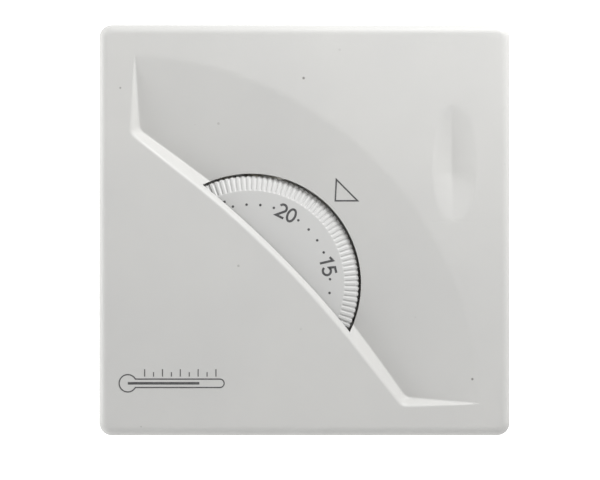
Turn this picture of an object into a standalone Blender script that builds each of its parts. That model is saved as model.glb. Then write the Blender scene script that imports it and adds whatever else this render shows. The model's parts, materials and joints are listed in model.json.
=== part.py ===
"""Wall thermostat: moulded cover, temperature wheel, vapour capsule, lever and change-over switch.

Every piece is modelled in the wall's own frame: x to the right, y up, z out of the wall. The empty
wall_frame stands that frame up, so that in the world +Z is up and +Y points into the wall. The origin
is the middle of the base plate's back, on the wall. Sizes are in metres.
"""
import math

import bmesh
import bpy
from mathutils import Matrix, Vector

MM = 0.001

# General fits
GAP = 0.3 * MM              # between pieces that touch
RUNNING = 0.1 * MM          # round a turning or sliding shaft
HOLE_PLAY = 0.2 * MM        # round a screw or rivet shank

# Cover
COVER_WIDTH = 83.0 * MM
COVER_DEPTH = 37.0 * MM     # front face above the wall
COVER_WALL = 1.7 * MM
COVER_SKIN = 1.6 * MM       # thickness of the front
CORNER_RADIUS = 2.6 * MM
FRONT_ROUNDING = 1.8 * MM
VENT_COUNT = 11
VENT_WIDTH = 2.2 * MM
VENT_PITCH = 5.2 * MM
VENT_LOW = 13.0 * MM
VENT_HIGH = 27.0 * MM

# Crescent recess: a conical floor that rises to the front face, ended by a sloping wall.
# The floor and the wall are both symmetrical about the diagonal x = y.
RECESS_CENTRE = -36.9 * MM  # x and y of the cone's axis
RECESS_RADIUS = 72.2 * MM   # where the floor meets the front face
RECESS_SLOPE = 0.157        # depth gained for each metre towards the axis
WALL_ANGLE = math.radians(58.0)
BRINK_TIP = (-34.6 * MM, 38.0 * MM)
BRINK_CORNER = (-34.9 * MM, 19.6 * MM)
BRINK_BEND = (-15.0 * MM, 3.9 * MM)
BRINK_ROUNDING = 2.0 * MM

# Thumb scoop on the right of the front
SCOOP_CENTRE = (30.4 * MM, 13.6 * MM)
SCOOP_HALF_WIDTH = 4.4 * MM
SCOOP_HALF_HEIGHT = 11.9 * MM
SCOOP_DEPTH = 1.3 * MM

# Base plate
BASE_INSET = 0.3 * MM       # from the cover's outline to the plate's
BASE_THICKNESS = 2.0 * MM
RIM_THICKNESS = 1.4 * MM
RIM_TOP = 6.5 * MM
CATCH_WIDTH = 10.0 * MM
CATCH_TOP = 13.0 * MM
WALL_SCREW_SPACING = 60.0 * MM
WALL_SLOT_LENGTH = 12.0 * MM
WALL_SLOT_WIDTH = 4.5 * MM
CORNER_HOLE_RADIUS = 2.2 * MM
CORNER_HOLE_INSET = 7.5 * MM
CABLE_WIDTH = 26.0 * MM
CABLE_HEIGHT = 13.0 * MM
CABLE_CENTRE = (8.0 * MM, 26.0 * MM)
CABLE_COLLAR = 1.2 * MM
COLLAR_TOP = 4.0 * MM

# Temperature wheel
DIAL_CENTRE = -10.8 * MM    # x and y of the wheel's axis
WHEEL_RADIUS = 21.8 * MM
WHEEL_CLEARANCE = 0.8 * MM  # round the wheel in the cover
WHEEL_THICKNESS = 4.9 * MM
WHEEL_WALL = 1.6 * MM
WHEEL_WEB = 1.9 * MM
SHOULDER_WIDTH = 3.0 * MM
SHOULDER_DROP = 1.7 * MM
RIB_COUNT = 122
RIB_DEPTH = 0.3 * MM
HUB_RADIUS = 4.2 * MM
HUB_BORE_DEPTH = 5.3 * MM
TURN_DOWN = math.radians(131.8)   # from rest to the lowest setting, anticlockwise
TURN_UP = math.radians(118.2)     # from rest to the highest setting, clockwise

# Spindle and its bush
THREAD_RADIUS = 3.0 * MM
THREAD_PITCH = 1.0 * MM
SPINDLE_TOP_RADIUS = 2.4 * MM
SPINDLE_FLAT = 1.8 * MM     # from the axis to the flat
BUSH_WALL = 1.5 * MM
BUSH_FLANGE_RADIUS = 6.2 * MM
BUSH_FLANGE_THICKNESS = 1.0 * MM
BUSH_STAND = 0.7 * MM       # the bush stands out of its nut
NUT_FLATS = 12.0 * MM
NUT_THICKNESS = 2.0 * MM

# Bridge
BRIDGE_TOP = 25.2 * MM
BRIDGE_THICKNESS = 1.2 * MM
BRIDGE_WIDTH = 18.0 * MM
FOOT_LENGTH = 5.6 * MM
FOOT_BOTTOM = 8.0 * MM
FOOT_BOSS_RADIUS = 3.1 * MM
BRIDGE_CLEARANCE = 2.0 * MM
LIMIT_PIN_RADIUS = 1.0 * MM
LIMIT_PIN_CIRCLE = 9.3 * MM
LIMIT_PIN_HEIGHT = 3.6 * MM
LUG_WIDTH = 2.4 * MM
LUG_PLAY = math.radians(1.0)

# Capsule
CAPSULE_RADIUS = 18.0 * MM
CAPSULE_SKIRT = 0.5 * MM
CAPSULE_DEPTH = 5.0 * MM
SHELL_THICKNESS = 0.5 * MM
CORRUGATION = 0.6 * MM
CORRUGATION_COUNT = 4
BUTTON_RADIUS = 3.2 * MM
BUTTON_THICKNESS = 1.0 * MM
STUD_FLANGE_RADIUS = 4.0 * MM
STUD_FLANGE_THICKNESS = 1.0 * MM
STUD_RADIUS = 1.4 * MM
STUD_LENGTH = 3.2 * MM

# Lever
LEVER_WIDTH = 7.0 * MM
LEVER_TIP_WIDTH = 5.6 * MM
LEVER_THICKNESS = 0.8 * MM
LEVER_TIP_LENGTH = 7.0 * MM
LEVER_OVERHANG = 2.0 * MM
LEVER_FREE_PLAY = 0.5 * MM  # between the button and the lever at rest
PIVOT_INSET = 5.1 * MM      # from the rim's inside
PIVOT_DROP = 2.1 * MM       # from the lever's underside to its pin
PIN_RADIUS = 1.0 * MM
POST_THICKNESS = 1.8 * MM
POST_LENGTH = 4.4 * MM
SPRING_RADIUS = 2.2 * MM
SPRING_WIRE = 0.35 * MM
SPRING_TURNS = 5
SPRING_OFFSET = 14.8 * MM   # from the wheel's axis towards the switch
CALIBRATION_RADIUS = 1.2 * MM
CALIBRATION_LENGTH = 4.0 * MM
CALIBRATION_NUT_FLATS = 5.0 * MM
CALIBRATION_NUT_THICKNESS = 1.6 * MM

# Switch
BLOCK_BOTTOM = 3.3 * MM
BLOCK_LENGTH = 24.0 * MM
BLOCK_LOW_Y = -16.9 * MM
BLOCK_HIGH_Y = 16.4 * MM
LOWER_DECK = 5.6 * MM
TERMINAL_DECK_LENGTH = 10.6 * MM
TERMINAL_PITCH = 9.5 * MM
TERMINAL_MIDDLE_Y = 1.5 * MM
TERMINAL_WIDTH = 6.0 * MM
TERMINAL_THICKNESS = 0.6 * MM
TERMINAL_SETBACK = 0.8 * MM
PARTITION_HEIGHT = 3.6 * MM
PARTITION_THICKNESS = 1.2 * MM
TERMINAL_SCREW_RADIUS = 1.4 * MM
TERMINAL_SCREW_LENGTH = 5.5 * MM
CLAMP_THICKNESS = 0.7 * MM
CLAMP_WIDTH = 5.4 * MM
BLADE_INSET = 4.4 * MM      # from the block's left side to the blade's middle
BLADE_WIDTH = 4.0 * MM
BLADE_THICKNESS = 0.25 * MM
BLADE_ANCHOR_Y = 12.0 * MM
CONTACT_Y = -14.8 * MM
CONTACT_GAP = 0.95 * MM
CONTACT_RADIUS = 1.5 * MM
CONTACT_HEAD = 0.4 * MM
CONTACT_SHANK = 0.7 * MM
FIXED_CONTACT_HEAD = 0.5 * MM
ARM_WIDTH = 4.0 * MM
PLUNGER_RADIUS = 1.4 * MM
PLUNGER_PLAY = 0.15 * MM
PLUNGER_LENGTH = 2.35 * MM
GUIDE_HEIGHT = 0.8 * MM     # from the blade to the guide's underside
GUIDE_THICKNESS = 1.0 * MM
GUIDE_WALL = 1.2 * MM
GUIDE_HALF_WIDTH = 1.9 * MM
PAD_RADIUS = 3.4 * MM

# Screws
SCREW_SHANK = 1.15 * MM
SCREW_HEAD_RADIUS = 2.5 * MM
SCREW_HEAD_HEIGHT = 1.6 * MM
SCREW_DRIVE = 0.7 * MM      # slot's width
BRIDGE_SCREW_LENGTH = 6.5 * MM
BLOCK_SCREW_LENGTH = 5.0 * MM

# Roundness
SHARP_ANGLE = math.radians(30.0)
CORNER_STEPS = 6
ROUNDING_STEPS = 3
FINE = 64
ROUND = 32
SMALL = 16
SPRING_STEPS = 14

# Worked out from the sizes above
LEG_INSIDE = CAPSULE_RADIUS + BRIDGE_CLEARANCE
FOOT_MIDDLE = LEG_INSIDE + BRIDGE_THICKNESS + FOOT_LENGTH / 2
LEAST_RIM_INSIDE = FOOT_MIDDLE - DIAL_CENTRE + FOOT_BOSS_RADIUS + RUNNING
COVER_HALF = max(COVER_WIDTH / 2, LEAST_RIM_INSIDE + RIM_THICKNESS + GAP + COVER_WALL)
CAVITY_HALF = COVER_HALF - COVER_WALL
COVER_BACK = BASE_THICKNESS + GAP
COVER_UNDERSIDE = COVER_DEPTH - COVER_SKIN
RIM_HALF = CAVITY_HALF - GAP
RIM_INSIDE = RIM_HALF - RIM_THICKNESS
WHEEL_FACE = COVER_UNDERSIDE - GAP
WHEEL_BACK = WHEEL_FACE - WHEEL_THICKNESS
WHEEL_OPENING = WHEEL_RADIUS + WHEEL_CLEARANCE
BRIDGE_UNDERSIDE = BRIDGE_TOP - BRIDGE_THICKNESS
BUSH_RADIUS = THREAD_RADIUS + RUNNING + BUSH_WALL
NUT_BOTTOM = BRIDGE_TOP + GAP
NUT_TOP = NUT_BOTTOM + NUT_THICKNESS
BUSH_TOP = NUT_TOP + BUSH_STAND
BUSH_BOTTOM = BRIDGE_UNDERSIDE - GAP - BUSH_FLANGE_THICKNESS
HUB_BOTTOM = BUSH_TOP + GAP
HUB_BORE_TOP = HUB_BOTTOM + HUB_BORE_DEPTH
TRAVEL_OUT = THREAD_PITCH * TURN_UP / math.tau
TRAVEL_IN = THREAD_PITCH * TURN_DOWN / math.tau
SPINDLE_TOP = HUB_BORE_TOP - TRAVEL_OUT - GAP
SPINDLE_SHOULDER = HUB_BOTTOM - TRAVEL_OUT - GAP

NO_ARM_BOTTOM = LOWER_DECK + GAP
NO_ARM_TOP = NO_ARM_BOTTOM + TERMINAL_THICKNESS
NO_CONTACT_TOP = NO_ARM_TOP + GAP + FIXED_CONTACT_HEAD
MOVING_CONTACT_BOTTOM = NO_CONTACT_TOP + CONTACT_GAP
BLADE_BOTTOM = MOVING_CONTACT_BOTTOM + CONTACT_HEAD + GAP
BLADE_TOP = BLADE_BOTTOM + BLADE_THICKNESS
MOVING_CONTACT_TOP = BLADE_TOP + GAP + CONTACT_HEAD
NC_CONTACT_BOTTOM = MOVING_CONTACT_TOP + PLUNGER_PLAY
TERMINAL_BOTTOM = NC_CONTACT_BOTTOM + FIXED_CONTACT_HEAD + GAP
TERMINAL_TOP = TERMINAL_BOTTOM + TERMINAL_THICKNESS
TERMINAL_DECK = TERMINAL_BOTTOM - GAP
GUIDE_BOTTOM = BLADE_TOP + GUIDE_HEIGHT
PLUNGER_BOTTOM = BLADE_TOP + PLUNGER_PLAY
PLUNGER_TOP = PLUNGER_BOTTOM + PLUNGER_LENGTH
CALIBRATION_BOTTOM = PLUNGER_TOP + PLUNGER_PLAY
LEVER_BOTTOM = CALIBRATION_BOTTOM + 2 * GAP
LEVER_TOP = LEVER_BOTTOM + LEVER_THICKNESS
PIVOT_HEIGHT = LEVER_BOTTOM - PIVOT_DROP
BUTTON_BOTTOM = LEVER_TOP + LEVER_FREE_PLAY
BUTTON_TOP = BUTTON_BOTTOM + BUTTON_THICKNESS
REAR_SHELL_BOTTOM = BUTTON_TOP + GAP
CAPSULE_TOP = REAR_SHELL_BOTTOM + CAPSULE_DEPTH
STUD_BOTTOM = CAPSULE_TOP + GAP
SPINDLE_BOTTOM = STUD_BOTTOM + STUD_FLANGE_THICKNESS + GAP

PIVOT_X = PIVOT_INSET - RIM_INSIDE
BLOCK_RIGHT = RIM_INSIDE - GAP
BLOCK_LEFT = BLOCK_RIGHT - BLOCK_LENGTH
BLADE_X = BLOCK_LEFT + BLADE_INSET
TERMINAL_DECK_LEFT = BLOCK_RIGHT - TERMINAL_DECK_LENGTH
TERMINAL_X = BLOCK_RIGHT - TERMINAL_DECK_LENGTH / 2
PIN_HOLE_RADIUS = PIN_RADIUS + HOLE_PLAY
SPRING_X = DIAL_CENTRE + SPRING_OFFSET
NC_TERMINAL_Y = TERMINAL_MIDDLE_Y - TERMINAL_PITCH
COMMON_TERMINAL_Y = TERMINAL_MIDDLE_Y + TERMINAL_PITCH
BLOCK_SCREW_YS = (TERMINAL_MIDDLE_Y - TERMINAL_PITCH / 2, TERMINAL_MIDDLE_Y + TERMINAL_PITCH / 2)

# The stop lug meets the high pin at TURN_UP and the low pin at TURN_DOWN.
LUG_REACH = (LUG_WIDTH / 2 + LIMIT_PIN_RADIUS) / LIMIT_PIN_CIRCLE + LUG_PLAY
PIN_SPREAD = (math.tau - TURN_UP - TURN_DOWN) / 2 - LUG_REACH
HIGH_PIN_ANGLE = math.pi / 2 + PIN_SPREAD
LOW_PIN_ANGLE = math.pi / 2 - PIN_SPREAD
LUG_ANGLE = HIGH_PIN_ANGLE + TURN_UP + LUG_REACH

AROUND_DIAL = (DIAL_CENTRE, DIAL_CENTRE)


# ---------------------------------------------------------------- materials

def material(name, colour, roughness, metallic=0.0):
    """Principled material with one colour, roughness and metallic value."""
    made = bpy.data.materials.new(name)
    made.use_nodes = True
    shader = made.node_tree.nodes["Principled BSDF"]
    shader.inputs["Base Color"].default_value = (*colour, 1.0)
    shader.inputs["Roughness"].default_value = roughness
    shader.inputs["Metallic"].default_value = metallic
    return made


def make_materials():
    """All the finishes of the thermostat, by name."""
    return {
        "cover": material("cover_plastic", (0.60, 0.59, 0.57), 0.45),
        "dial": material("dial_plastic", (0.66, 0.65, 0.63), 0.42),
        "base": material("base_plastic", (0.55, 0.54, 0.51), 0.50),
        "zinc": material("zinc_plated_steel", (0.62, 0.62, 0.60), 0.35, 1.0),
        "spring": material("spring_steel", (0.45, 0.45, 0.46), 0.30, 1.0),
        "brass": material("brass", (0.72, 0.53, 0.24), 0.30, 1.0),
        "capsule": material("capsule_bronze", (0.66, 0.50, 0.33), 0.32, 1.0),
        "phenolic": material("phenolic", (0.06, 0.045, 0.035), 0.40),
        "copper": material("beryllium_copper", (0.72, 0.40, 0.22), 0.30, 1.0),
        "silver": material("contact_silver", (0.80, 0.80, 0.78), 0.25, 1.0),
        "nylon": material("plunger_nylon", (0.75, 0.73, 0.66), 0.50),
    }


# ---------------------------------------------------------------- shapes

def grid_body(rings):
    """Closed body from a stack of rings with equal point counts, listed from below, run anticlockwise."""
    shape = bmesh.new()
    loops = [[shape.verts.new(point) for point in ring] for ring in rings]
    count = len(loops[0])
    for low, high in zip(loops, loops[1:]):
        for i in range(count):
            j = (i + 1) % count
            shape.faces.new((low[i], low[j], high[j], high[i]))
    shape.faces.new(tuple(reversed(loops[0])))
    shape.faces.new(tuple(loops[-1]))
    return shape


def prism(outline, low, high):
    """Straight body on an anticlockwise outline in x and y, from z low to z high."""
    return grid_body([[(x, y, z) for x, y in outline] for z in (low, high)])


def box(x0, x1, y0, y1, z0, z1):
    """Rectangular block between two corners."""
    return prism([(x0, y0), (x1, y0), (x1, y1), (x0, y1)], z0, z1)


def arc(centre, radius, start, end, steps):
    """Points along an arc, both ends included."""
    angles = [start + (end - start) * i / steps for i in range(steps + 1)]
    return [(centre[0] + radius * math.cos(a), centre[1] + radius * math.sin(a)) for a in angles]


def circle(centre, radius, count, start=0.0):
    """Points of a regular polygon, anticlockwise."""
    return arc(centre, radius, start, start + math.tau * (count - 1) / count, count - 1)


def rod(centre, radius, low, high, count=SMALL):
    """Upright cylinder."""
    return prism(circle(centre, radius, count), low, high)


def hexagon(centre, flats, low, high):
    """Upright hexagonal prism across its flats."""
    return prism(circle(centre, flats / math.sqrt(3.0), 6), low, high)


def rounded_square(half, radius, steps=CORNER_STEPS):
    """Anticlockwise outline of a square about the origin with round corners."""
    reach = half - radius
    points = []
    for quarter, (sx, sy) in enumerate(((1, 1), (-1, 1), (-1, -1), (1, -1))):
        start = quarter * math.pi / 2
        points += arc((sx * reach, sy * reach), radius, start, start + math.pi / 2, steps)
    return points


def turned(profile, centre, count=ROUND):
    """Body of revolution about the upright line through centre.

    profile lists (radius, height) anticlockwise in the half plane, so from the axis outwards along
    the bottom and back in along the top. Its first and last points lie on the axis, or it is a
    closed loop away from the axis.
    """
    shape = bmesh.new()
    rows = []
    for radius, height in profile:
        if radius == 0.0:
            rows.append([shape.verts.new((centre[0], centre[1], height))] * count)
        else:
            rows.append([shape.verts.new((x, y, height)) for x, y in circle(centre, radius, count)])
    pairs = list(zip(rows, rows[1:]))
    if profile[0][0] > 0.0:
        pairs.append((rows[-1], rows[0]))
    for low, high in pairs:
        for i in range(count):
            j = (i + 1) % count
            corners = [low[i], low[j], high[j], high[i]]
            shape.faces.new([c for k, c in enumerate(corners) if c not in corners[:k]])
    return shape


def turn_upright(shape, pivot, axis, angle):
    """Turn a shape about a line through pivot."""
    bmesh.ops.rotate(shape, cent=pivot, matrix=Matrix.Rotation(angle, 3, axis), verts=shape.verts)
    return shape


def rod_along_y(centre_x, centre_z, radius, y0, y1, count=SMALL):
    """Cylinder lying along y."""
    shape = rod((centre_x, 0.0), radius, y0, y1, count)
    turn_upright(shape, (centre_x, 0.0, 0.0), "X", -math.pi / 2)
    bmesh.ops.translate(shape, vec=(0.0, 0.0, centre_z), verts=shape.verts)
    return shape


def plate_along_y(outline_xz, y0, y1):
    """Bent strip: an outline in x and z, anticlockwise seen from the front, carried along y."""
    return grid_body([[(x, y, z) for x, z in outline_xz] for y in (y1, y0)])


def plate_along_x(outline_yz, x0, x1):
    """Bent strip: an anticlockwise outline in y and z, carried along x."""
    return grid_body([[(x, y, z) for y, z in outline_yz] for x in (x0, x1)])


# ---------------------------------------------------------------- objects

class Workshop:
    """Makes named objects in the wall's frame and cuts or joins them with Boolean modifiers."""

    def __init__(self):
        self.frame = bpy.data.objects.new("wall_frame", None)
        self.frame.rotation_euler = (math.pi / 2, 0.0, 0.0)
        bpy.context.scene.collection.objects.link(self.frame)
        self.materials = make_materials()

    def body(self, name, shape):
        """Object with this shape, standing in the wall's frame."""
        mesh = bpy.data.meshes.new(name)
        shape.to_mesh(mesh)
        shape.free()
        made = bpy.data.objects.new(name, mesh)
        made.parent = self.frame
        bpy.context.scene.collection.objects.link(made)
        return made

    def tool(self, name, shape):
        """Hidden shape that only joins or cuts."""
        made = self.body(name, shape)
        made.hide_render = True
        made.display_type = "WIRE"
        return made

    def combine(self, target, operation, others):
        """Add one exact Boolean for each other object."""
        for other in others:
            step = target.modifiers.new(operation.lower(), "BOOLEAN")
            step.operation = operation
            step.solver = "EXACT"
            step.object = other

    def piece(self, name, finish, shape, joined=(), cut=(), pivot=None):
        """Finished sub-part: first shape, then what is joined to it, then what is cut from it.

        pivot, in the wall's frame, becomes the object's origin.
        """
        made = self.body(name, shape)
        made.data.materials.append(self.materials[finish])
        made.data.shade_smooth()
        made.data.set_sharp_from_angle(angle=SHARP_ANGLE)
        if pivot is not None:
            made.data.transform(Matrix.Translation(-Vector(pivot)))
            made.location = pivot
        tools = [self.as_tool(f"{name}_join_{i}", item) for i, item in enumerate(joined)]
        self.combine(made, "UNION", tools)
        tools = [self.as_tool(f"{name}_cut_{i}", item) for i, item in enumerate(cut)]
        self.combine(made, "DIFFERENCE", tools)
        return made

    def as_tool(self, name, item):
        """A tool object as it is, or a shape made into one."""
        return item if isinstance(item, bpy.types.Object) else self.tool(name, item)


# ---------------------------------------------------------------- cover

def brink(inset):
    """The line where the recess's wall leaves the front face, moved by inset into the recess.

    It runs from beyond the upper tip, down, along the diagonal and out beyond the right tip. Each
    stretch moves square to itself and the stretches meet again at their crossing.
    """
    half = [BRINK_TIP, BRINK_CORNER, BRINK_BEND]
    corners = half + [(y, x) for x, y in reversed(half)]
    lines = []
    for (x0, y0), (x1, y1) in zip(corners, corners[1:]):
        length = math.hypot(x1 - x0, y1 - y0)
        dx, dy = (x1 - x0) / length, (y1 - y0) / length
        lines.append((x0 - dy * inset, y0 + dx * inset, dx, dy))
    moved = [lines[0][:2]]
    for (ax, ay, adx, ady), (bx, by, bdx, bdy) in zip(lines, lines[1:]):
        along = ((bx - ax) * bdy - (by - ay) * bdx) / (adx * bdy - ady * bdx)
        moved.append((ax + adx * along, ay + ady * along))
    moved.append((moved[0][1], moved[0][0]))
    return moved


def round_off(points, index, radius, steps):
    """Points of a path with the corner at index replaced by an arc that touches both sides."""
    before, corner, after = (Vector(points[index + k]) for k in (-1, 0, 1))
    inward, outward = (before - corner).normalized(), (after - corner).normalized()
    half_angle = inward.angle(outward) / 2
    centre = corner + (inward + outward).normalized() * radius / math.sin(half_angle)
    start = corner + inward * radius / math.tan(half_angle) - centre
    turn = math.pi - 2 * half_angle
    arc_points = [centre + Matrix.Rotation(turn * i / steps, 2) @ start for i in range(steps + 1)]
    return points[:index] + [tuple(p) for p in arc_points] + points[index + 1:]


def recess_outline(inset):
    """The brink with its two outer corners rounded, closed round the far corner of the cover."""
    path = brink(inset)
    path = round_off(path, len(path) - 2, BRINK_ROUNDING, CORNER_STEPS)
    path = round_off(path, 1, BRINK_ROUNDING, CORNER_STEPS)
    return path + [(COVER_WIDTH, path[-1][1]), (COVER_WIDTH, COVER_WIDTH), (path[0][0], COVER_WIDTH)]


def recess_tool(shop, name, thickness):
    """The recess as a solid, made larger on every side by thickness.

    It is everything beyond the sloping wall and above the conical floor.
    """
    top = COVER_DEPTH + COVER_SKIN
    bottom = COVER_DEPTH - RECESS_SLOPE * RECESS_RADIUS - thickness
    slope = math.tan(WALL_ANGLE)
    rings = []
    for height in (bottom, top):
        inset = (COVER_DEPTH - height) / slope - thickness
        rings.append([(x, y, height) for x, y in recess_outline(inset)])
    region = shop.tool(name, grid_body(rings))
    reach = RECESS_RADIUS + thickness + (top - COVER_DEPTH) / RECESS_SLOPE
    cone = turned([(0.0, bottom), (reach, top), (0.0, top)], (RECESS_CENTRE, RECESS_CENTRE), 2 * FINE)
    shop.combine(region, "INTERSECT", [shop.tool(name + "_cone", cone)])
    return region


def scoop_shape(thickness):
    """Half-sunk ellipsoid of the thumb scoop, made larger by thickness."""
    shape = bmesh.new()
    bmesh.ops.create_uvsphere(shape, u_segments=ROUND, v_segments=SMALL, radius=1.0)
    size = (SCOOP_HALF_WIDTH + thickness, SCOOP_HALF_HEIGHT + thickness, SCOOP_DEPTH + thickness)
    bmesh.ops.scale(shape, vec=size, verts=shape.verts)
    bmesh.ops.translate(shape, vec=(*SCOOP_CENTRE, COVER_DEPTH), verts=shape.verts)
    return shape


def cover_shell():
    """Outer form: a square with round corners whose front edge is rounded over."""
    rings = [[(x, y, COVER_BACK) for x, y in rounded_square(COVER_HALF, CORNER_RADIUS)]]
    for step in range(ROUNDING_STEPS + 1):
        angle = step * math.pi / 2 / ROUNDING_STEPS
        inset = FRONT_ROUNDING * (1 - math.cos(angle))
        height = COVER_DEPTH - FRONT_ROUNDING * (1 - math.sin(angle))
        outline = rounded_square(COVER_HALF - inset, CORNER_RADIUS - inset)
        rings.append([(x, y, height) for x, y in outline])
    return grid_body(rings)


def vent_tools():
    """Upright slots through the upper and lower sides."""
    first = -(VENT_COUNT - 1) / 2 * VENT_PITCH
    for side in (-1, 1):
        edges = sorted((side * (CAVITY_HALF - GAP), side * (COVER_HALF + GAP)))
        for i in range(VENT_COUNT):
            x = first + i * VENT_PITCH
            yield box(x - VENT_WIDTH / 2, x + VENT_WIDTH / 2, *edges, VENT_LOW, VENT_HIGH)


def make_cover(shop):
    """Moulded cover, hollow from the back, with recess, wheel opening, scoop and vents."""
    cavity = shop.tool("cover_cavity", box(-CAVITY_HALF, CAVITY_HALF, -CAVITY_HALF, CAVITY_HALF,
                                           0.0, COVER_UNDERSIDE))
    lining = recess_tool(shop, "cover_recess_lining", COVER_SKIN)
    well = rod(AROUND_DIAL, WHEEL_OPENING, WHEEL_BACK - COVER_SKIN, COVER_DEPTH + COVER_SKIN, FINE)
    shop.combine(lining, "DIFFERENCE", [shop.tool("cover_wheel_well", well)])
    pad = shop.tool("cover_scoop_lining", scoop_shape(COVER_SKIN))
    shop.combine(cavity, "DIFFERENCE", [lining, pad])
    recess = recess_tool(shop, "cover_recess", 0.0)
    shop.piece("front_cover", "cover", cover_shell(),
               cut=[cavity, recess, scoop_shape(0.0), *vent_tools()])


# ---------------------------------------------------------------- base plate

def wall_slot(x, y):
    """Level slot for a wall screw."""
    reach = (WALL_SLOT_LENGTH - WALL_SLOT_WIDTH) / 2
    radius = WALL_SLOT_WIDTH / 2
    outline = arc((x + reach, y), radius, -math.pi / 2, math.pi / 2, CORNER_STEPS)
    outline += arc((x - reach, y), radius, math.pi / 2, 3 * math.pi / 2, CORNER_STEPS)
    return prism(outline, -GAP, BASE_THICKNESS + GAP)


def window(half_width, half_height, low, high):
    """Rectangular block about the cable entry's middle."""
    x, y = CABLE_CENTRE
    return box(x - half_width, x + half_width, y - half_height, y + half_height, low, high)


def foot_places():
    """Where the bridge's two feet are screwed down."""
    return [(DIAL_CENTRE, DIAL_CENTRE + side * FOOT_MIDDLE) for side in (1, -1)]


def post_sides():
    """The y ranges of the two pivot posts, outside the lever's ears."""
    near = LEVER_WIDTH / 2 + GAP
    far = near + POST_THICKNESS
    return [(DIAL_CENTRE - far, DIAL_CENTRE - near), (DIAL_CENTRE + near, DIAL_CENTRE + far)]


def base_additions():
    """Rim and the two catches that guide the cover."""
    outer = rounded_square(RIM_HALF, CORNER_RADIUS - (COVER_HALF - RIM_HALF) / 2)
    yield prism(outer, BASE_THICKNESS / 2, RIM_TOP)
    for side in (-1, 1):
        edges = sorted((side * RIM_HALF, side * RIM_INSIDE))
        yield box(*edges, -CATCH_WIDTH / 2, CATCH_WIDTH / 2, BASE_THICKNESS / 2, CATCH_TOP)


def base_fittings():
    """What stands on the floor inside the rim: bosses, posts, pads, spring seat and cable collar."""
    for place in foot_places():
        yield rod(place, FOOT_BOSS_RADIUS, BASE_THICKNESS / 2, FOOT_BOTTOM - GAP, ROUND)
    for y0, y1 in post_sides():
        yield box(PIVOT_X - POST_LENGTH / 2, PIVOT_X + POST_LENGTH / 2, y0, y1,
                  BASE_THICKNESS / 2, PIVOT_HEIGHT + POST_LENGTH / 2)
    for y in BLOCK_SCREW_YS:
        yield rod((TERMINAL_X, y), PAD_RADIUS, BASE_THICKNESS / 2, BLOCK_BOTTOM - GAP, ROUND)
    yield rod((SPRING_X, DIAL_CENTRE), SPRING_RADIUS - SPRING_WIRE - GAP, BASE_THICKNESS / 2, COLLAR_TOP)
    half_width, half_height = CABLE_WIDTH / 2 + CABLE_COLLAR, CABLE_HEIGHT / 2 + CABLE_COLLAR
    yield window(half_width, half_height, BASE_THICKNESS / 2, COLLAR_TOP)


def base_cuts():
    """Screw slots, holes, pilot bores and the cable entry."""
    yield window(CABLE_WIDTH / 2, CABLE_HEIGHT / 2, -GAP, COLLAR_TOP + GAP)
    reach = WALL_SCREW_SPACING / 2 / math.sqrt(2.0)
    yield wall_slot(-reach, reach)
    yield wall_slot(reach, -reach)
    corner = COVER_HALF - CORNER_HOLE_INSET
    for side in (-1, 1):
        yield rod((side * corner, side * corner), CORNER_HOLE_RADIUS, -GAP, BASE_THICKNESS + GAP)
    for place in foot_places():
        yield rod(place, SCREW_SHANK + HOLE_PLAY, BASE_THICKNESS, FOOT_BOTTOM)
    for y in BLOCK_SCREW_YS:
        yield rod((TERMINAL_X, y), SCREW_SHANK + HOLE_PLAY, -GAP, BLOCK_BOTTOM)
        yield rod((TERMINAL_X, y), SCREW_HEAD_RADIUS + GAP, -GAP, SCREW_HEAD_HEIGHT + GAP)
    (low, _), (_, high) = post_sides()
    yield rod_along_y(PIVOT_X, PIVOT_HEIGHT, PIN_HOLE_RADIUS, low - GAP, high + GAP)


def make_base(shop):
    """Moulded wall plate."""
    plate = prism(rounded_square(COVER_HALF - BASE_INSET, CORNER_RADIUS), 0.0, BASE_THICKNESS)
    inside = RIM_INSIDE
    tray = box(-inside, inside, -inside, inside, BASE_THICKNESS, CATCH_TOP + GAP)
    made = shop.piece("base_plate", "base", plate, joined=base_additions(), cut=[tray])
    fittings = [shop.tool(f"base_fitting_{i}", item) for i, item in enumerate(base_fittings())]
    shop.combine(made, "UNION", fittings)
    cuts = [shop.tool(f"base_opening_{i}", item) for i, item in enumerate(base_cuts())]
    shop.combine(made, "DIFFERENCE", cuts)


# ---------------------------------------------------------------- wheel and spindle

def round_dial(radius, angle):
    """Point at a radius and an angle round the wheel's axis."""
    return (DIAL_CENTRE + radius * math.cos(angle), DIAL_CENTRE + radius * math.sin(angle))


def ribbed_ring(radius, height):
    """Ring of points that steps in and out once for each rib."""
    points = []
    for i in range(2 * RIB_COUNT):
        angle = math.tau * i / (2 * RIB_COUNT)
        reach = radius - RIB_DEPTH * (i % 2)
        points.append((*round_dial(reach, angle), height))
    return points


def stop_lug():
    """Lug under the wheel's web that meets the limit pins."""
    inner = LIMIT_PIN_CIRCLE - LIMIT_PIN_RADIUS
    outer = LIMIT_PIN_CIRCLE + LIMIT_PIN_RADIUS
    half = LUG_WIDTH / 2
    shape = box(inner, outer, -half, half, BRIDGE_TOP + 2 * GAP, WHEEL_FACE - WHEEL_WEB / 2)
    turn_upright(shape, (0.0, 0.0, 0.0), "Z", LUG_ANGLE)
    bmesh.ops.translate(shape, vec=(DIAL_CENTRE, DIAL_CENTRE, 0.0), verts=shape.verts)
    return shape


def flatted(radius, flat, low, high):
    """Round bar with one flat, facing up the wall."""
    start = math.asin(flat / radius)
    outline = arc(AROUND_DIAL, radius, math.pi - start, math.tau + start, SMALL)
    return prism(outline, low, high)


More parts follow.
